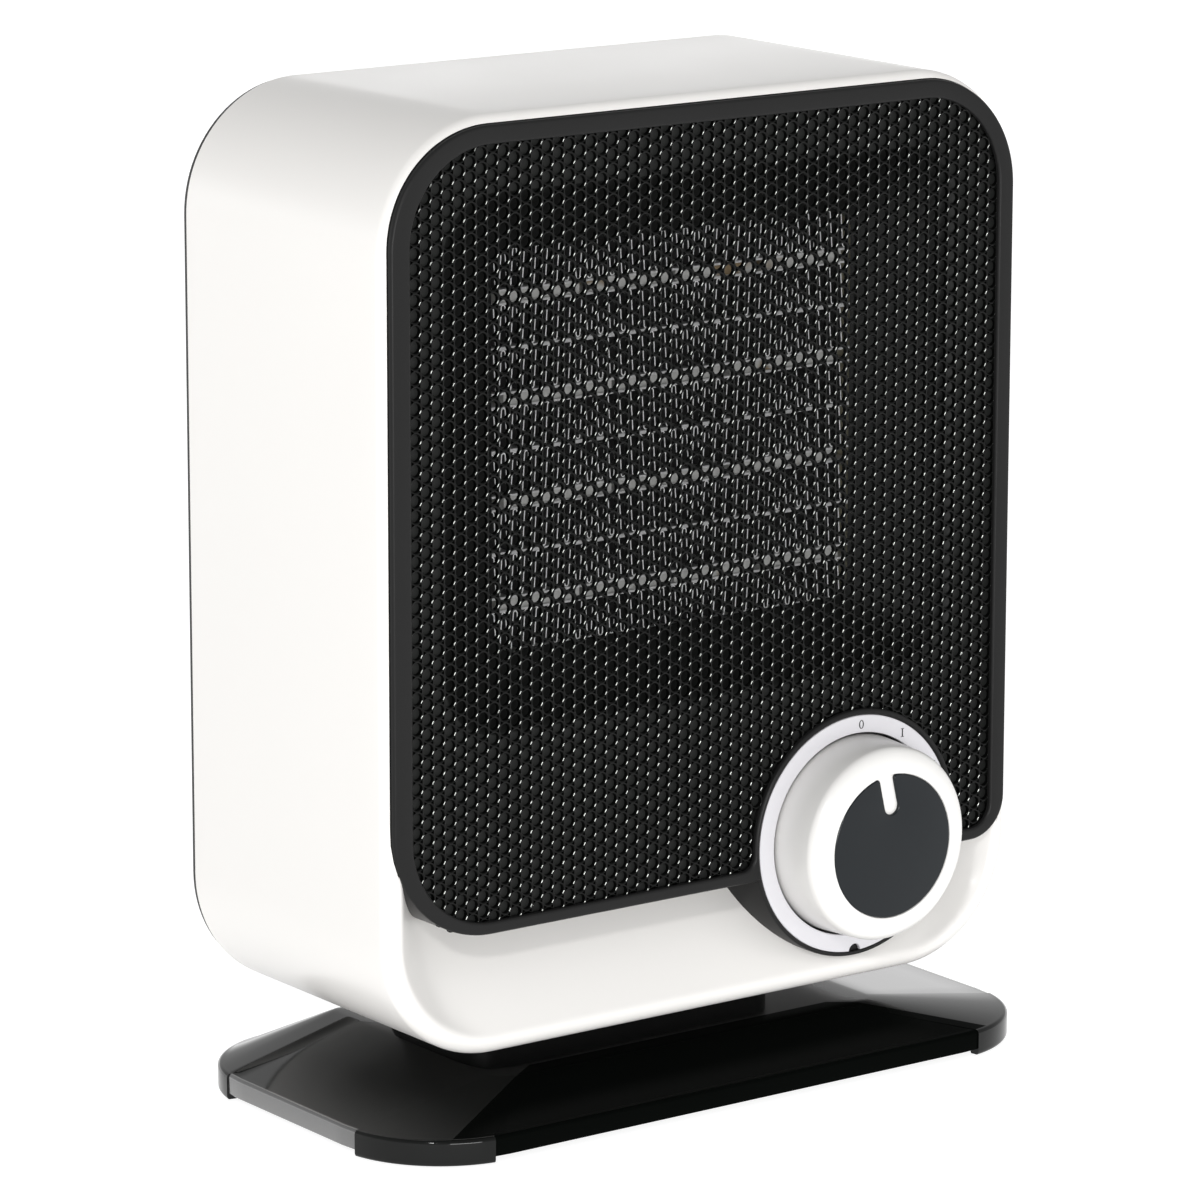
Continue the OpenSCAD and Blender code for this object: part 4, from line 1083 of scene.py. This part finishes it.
def make_stage():
    """A wide pale floor that glows a little, so that it reads as plain white."""
    bm = bmesh.new()
    for x, y in ((-1, -1), (1, -1), (1, 1), (-1, 1)):
        bm.verts.new((x * FLOOR_HALF, y * FLOOR_HALF, 0))
    bm.faces.new(bm.verts)
    mesh = bpy.data.meshes.new("floor")
    bm.to_mesh(mesh)
    bm.free()
    floor = bpy.data.objects.new("floor", mesh)
    bpy.context.scene.collection.objects.link(floor)
    pale = finish("floor_pale", linear(0.62, 0.62, 0.62), 0.6, tint=0.01, grain=60, bump=0.0, broad=3.0)
    shader = pale.node_tree.nodes["Principled BSDF"]
    shader.inputs["Emission Color"].default_value = (1, 1, 1, 1)
    shader.inputs["Emission Strength"].default_value = FLOOR_GLOW
    mesh.materials.append(pale)


def make_light(name, place, aim, width, height, power):
    data = bpy.data.lights.new(name, "AREA")
    data.shape = "RECTANGLE"
    data.size = width
    data.size_y = height
    data.energy = power
    light = bpy.data.objects.new(name, data)
    light.location = place
    light.rotation_euler = (Vector(aim) - Vector(place)).to_track_quat("-Z", "Y").to_euler()
    bpy.context.scene.collection.objects.link(light)


def make_world(front, behind, overhead):
    """White all round, brightest low down behind the heater. Overhead it falls off by the factor given."""
    world = bpy.data.worlds.new("studio")
    bpy.context.scene.world = world
    world.use_nodes = True
    nodes, links = world.node_tree.nodes, world.node_tree.links
    back = nodes["Background"]
    back.inputs["Color"].default_value = (1, 1, 1, 1)
    place = nodes.new("ShaderNodeTexCoord")
    parts = nodes.new("ShaderNodeSeparateXYZ")
    links.new(place.outputs["Generated"], parts.inputs["Vector"])
    fades = []
    # The axis each ramp runs along, where it starts and ends, and its strength at both.
    ramps = (
        ("Z", 0.04, 0.2, behind, front * 1.2),
        ("Y", -0.2, 0.6, front, behind),
        ("Z", 0.1, 0.95, 1.0, overhead),
    )
    for axis, start, end, low, high in ramps:
        fade = nodes.new("ShaderNodeMapRange")
        fade.inputs["From Min"].default_value = start
        fade.inputs["From Max"].default_value = end
        fade.inputs["To Min"].default_value = low
        fade.inputs["To Max"].default_value = high
        links.new(parts.outputs[axis], fade.inputs["Value"])
        fades.append(fade)
    horizon, round_about, upwards = fades
    links.new(horizon.outputs["Result"], round_about.inputs["To Max"])
    product = nodes.new("ShaderNodeMath")
    product.operation = "MULTIPLY"
    links.new(round_about.outputs["Result"], product.inputs[0])
    links.new(upwards.outputs["Result"], product.inputs[1])
    links.new(product.outputs["Value"], back.inputs["Strength"])


# The camera that was fitted to the picture's outlines: its direction, distance, lens and aim.
AZIMUTH = math.radians(-36.301)
ELEVATION = math.radians(12.7085)
ROLL = math.radians(0.0789)
DISTANCE = 1422.5 * MM
FOCAL_PER_WIDTH = 5.06318333
AIM_RIGHT = -1.535 * MM
AIM_UP = -16.581 * MM
SENSOR = 36


def make_camera():
    right = Vector((math.cos(AZIMUTH), math.sin(AZIMUTH), 0))
    back = Vector((math.sin(AZIMUTH) * math.cos(ELEVATION), -math.cos(AZIMUTH) * math.cos(ELEVATION),
                   math.sin(ELEVATION)))
    up = back.cross(right)
    middle = Vector((0, (SHELL_LOW.y + SHELL_HIGH.y) / 2, (SHELL_LOW.z + SHELL_HIGH.z) / 2))
    aim = middle + right * AIM_RIGHT + up * AIM_UP
    data = bpy.data.cameras.new("camera")
    data.sensor_width = SENSOR
    data.lens = SENSOR * FOCAL_PER_WIDTH
    data.clip_start = 0.05
    data.clip_end = 20
    camera = bpy.data.objects.new("camera", data)
    camera.location = aim + back * DISTANCE
    turned_right = right * math.cos(ROLL) + up * math.sin(ROLL)
    turned_up = up * math.cos(ROLL) - right * math.sin(ROLL)
    camera.matrix_world = matrix_from(turned_right, turned_up, back, camera.location)
    bpy.context.scene.collection.objects.link(camera)
    bpy.context.scene.camera = camera


def matrix_from(x, y, z, place):
    rows = Matrix((x, y, z)).transposed().to_4x4()
    rows.translation = place
    return rows


make_stage()
make_world(front=0.73, behind=2.0, overhead=0.5)
make_light("key", place=(-1.55, -1.5, 1.3), aim=(0, 0, 0.12), width=0.18, height=0.18, power=11)
make_light("fill", place=(-0.5, -1.9, 0.16), aim=(0.03, 0, 0.06), width=1.0, height=0.3, power=14)
make_camera()
bpy.context.scene.view_settings.view_transform = "Standard"
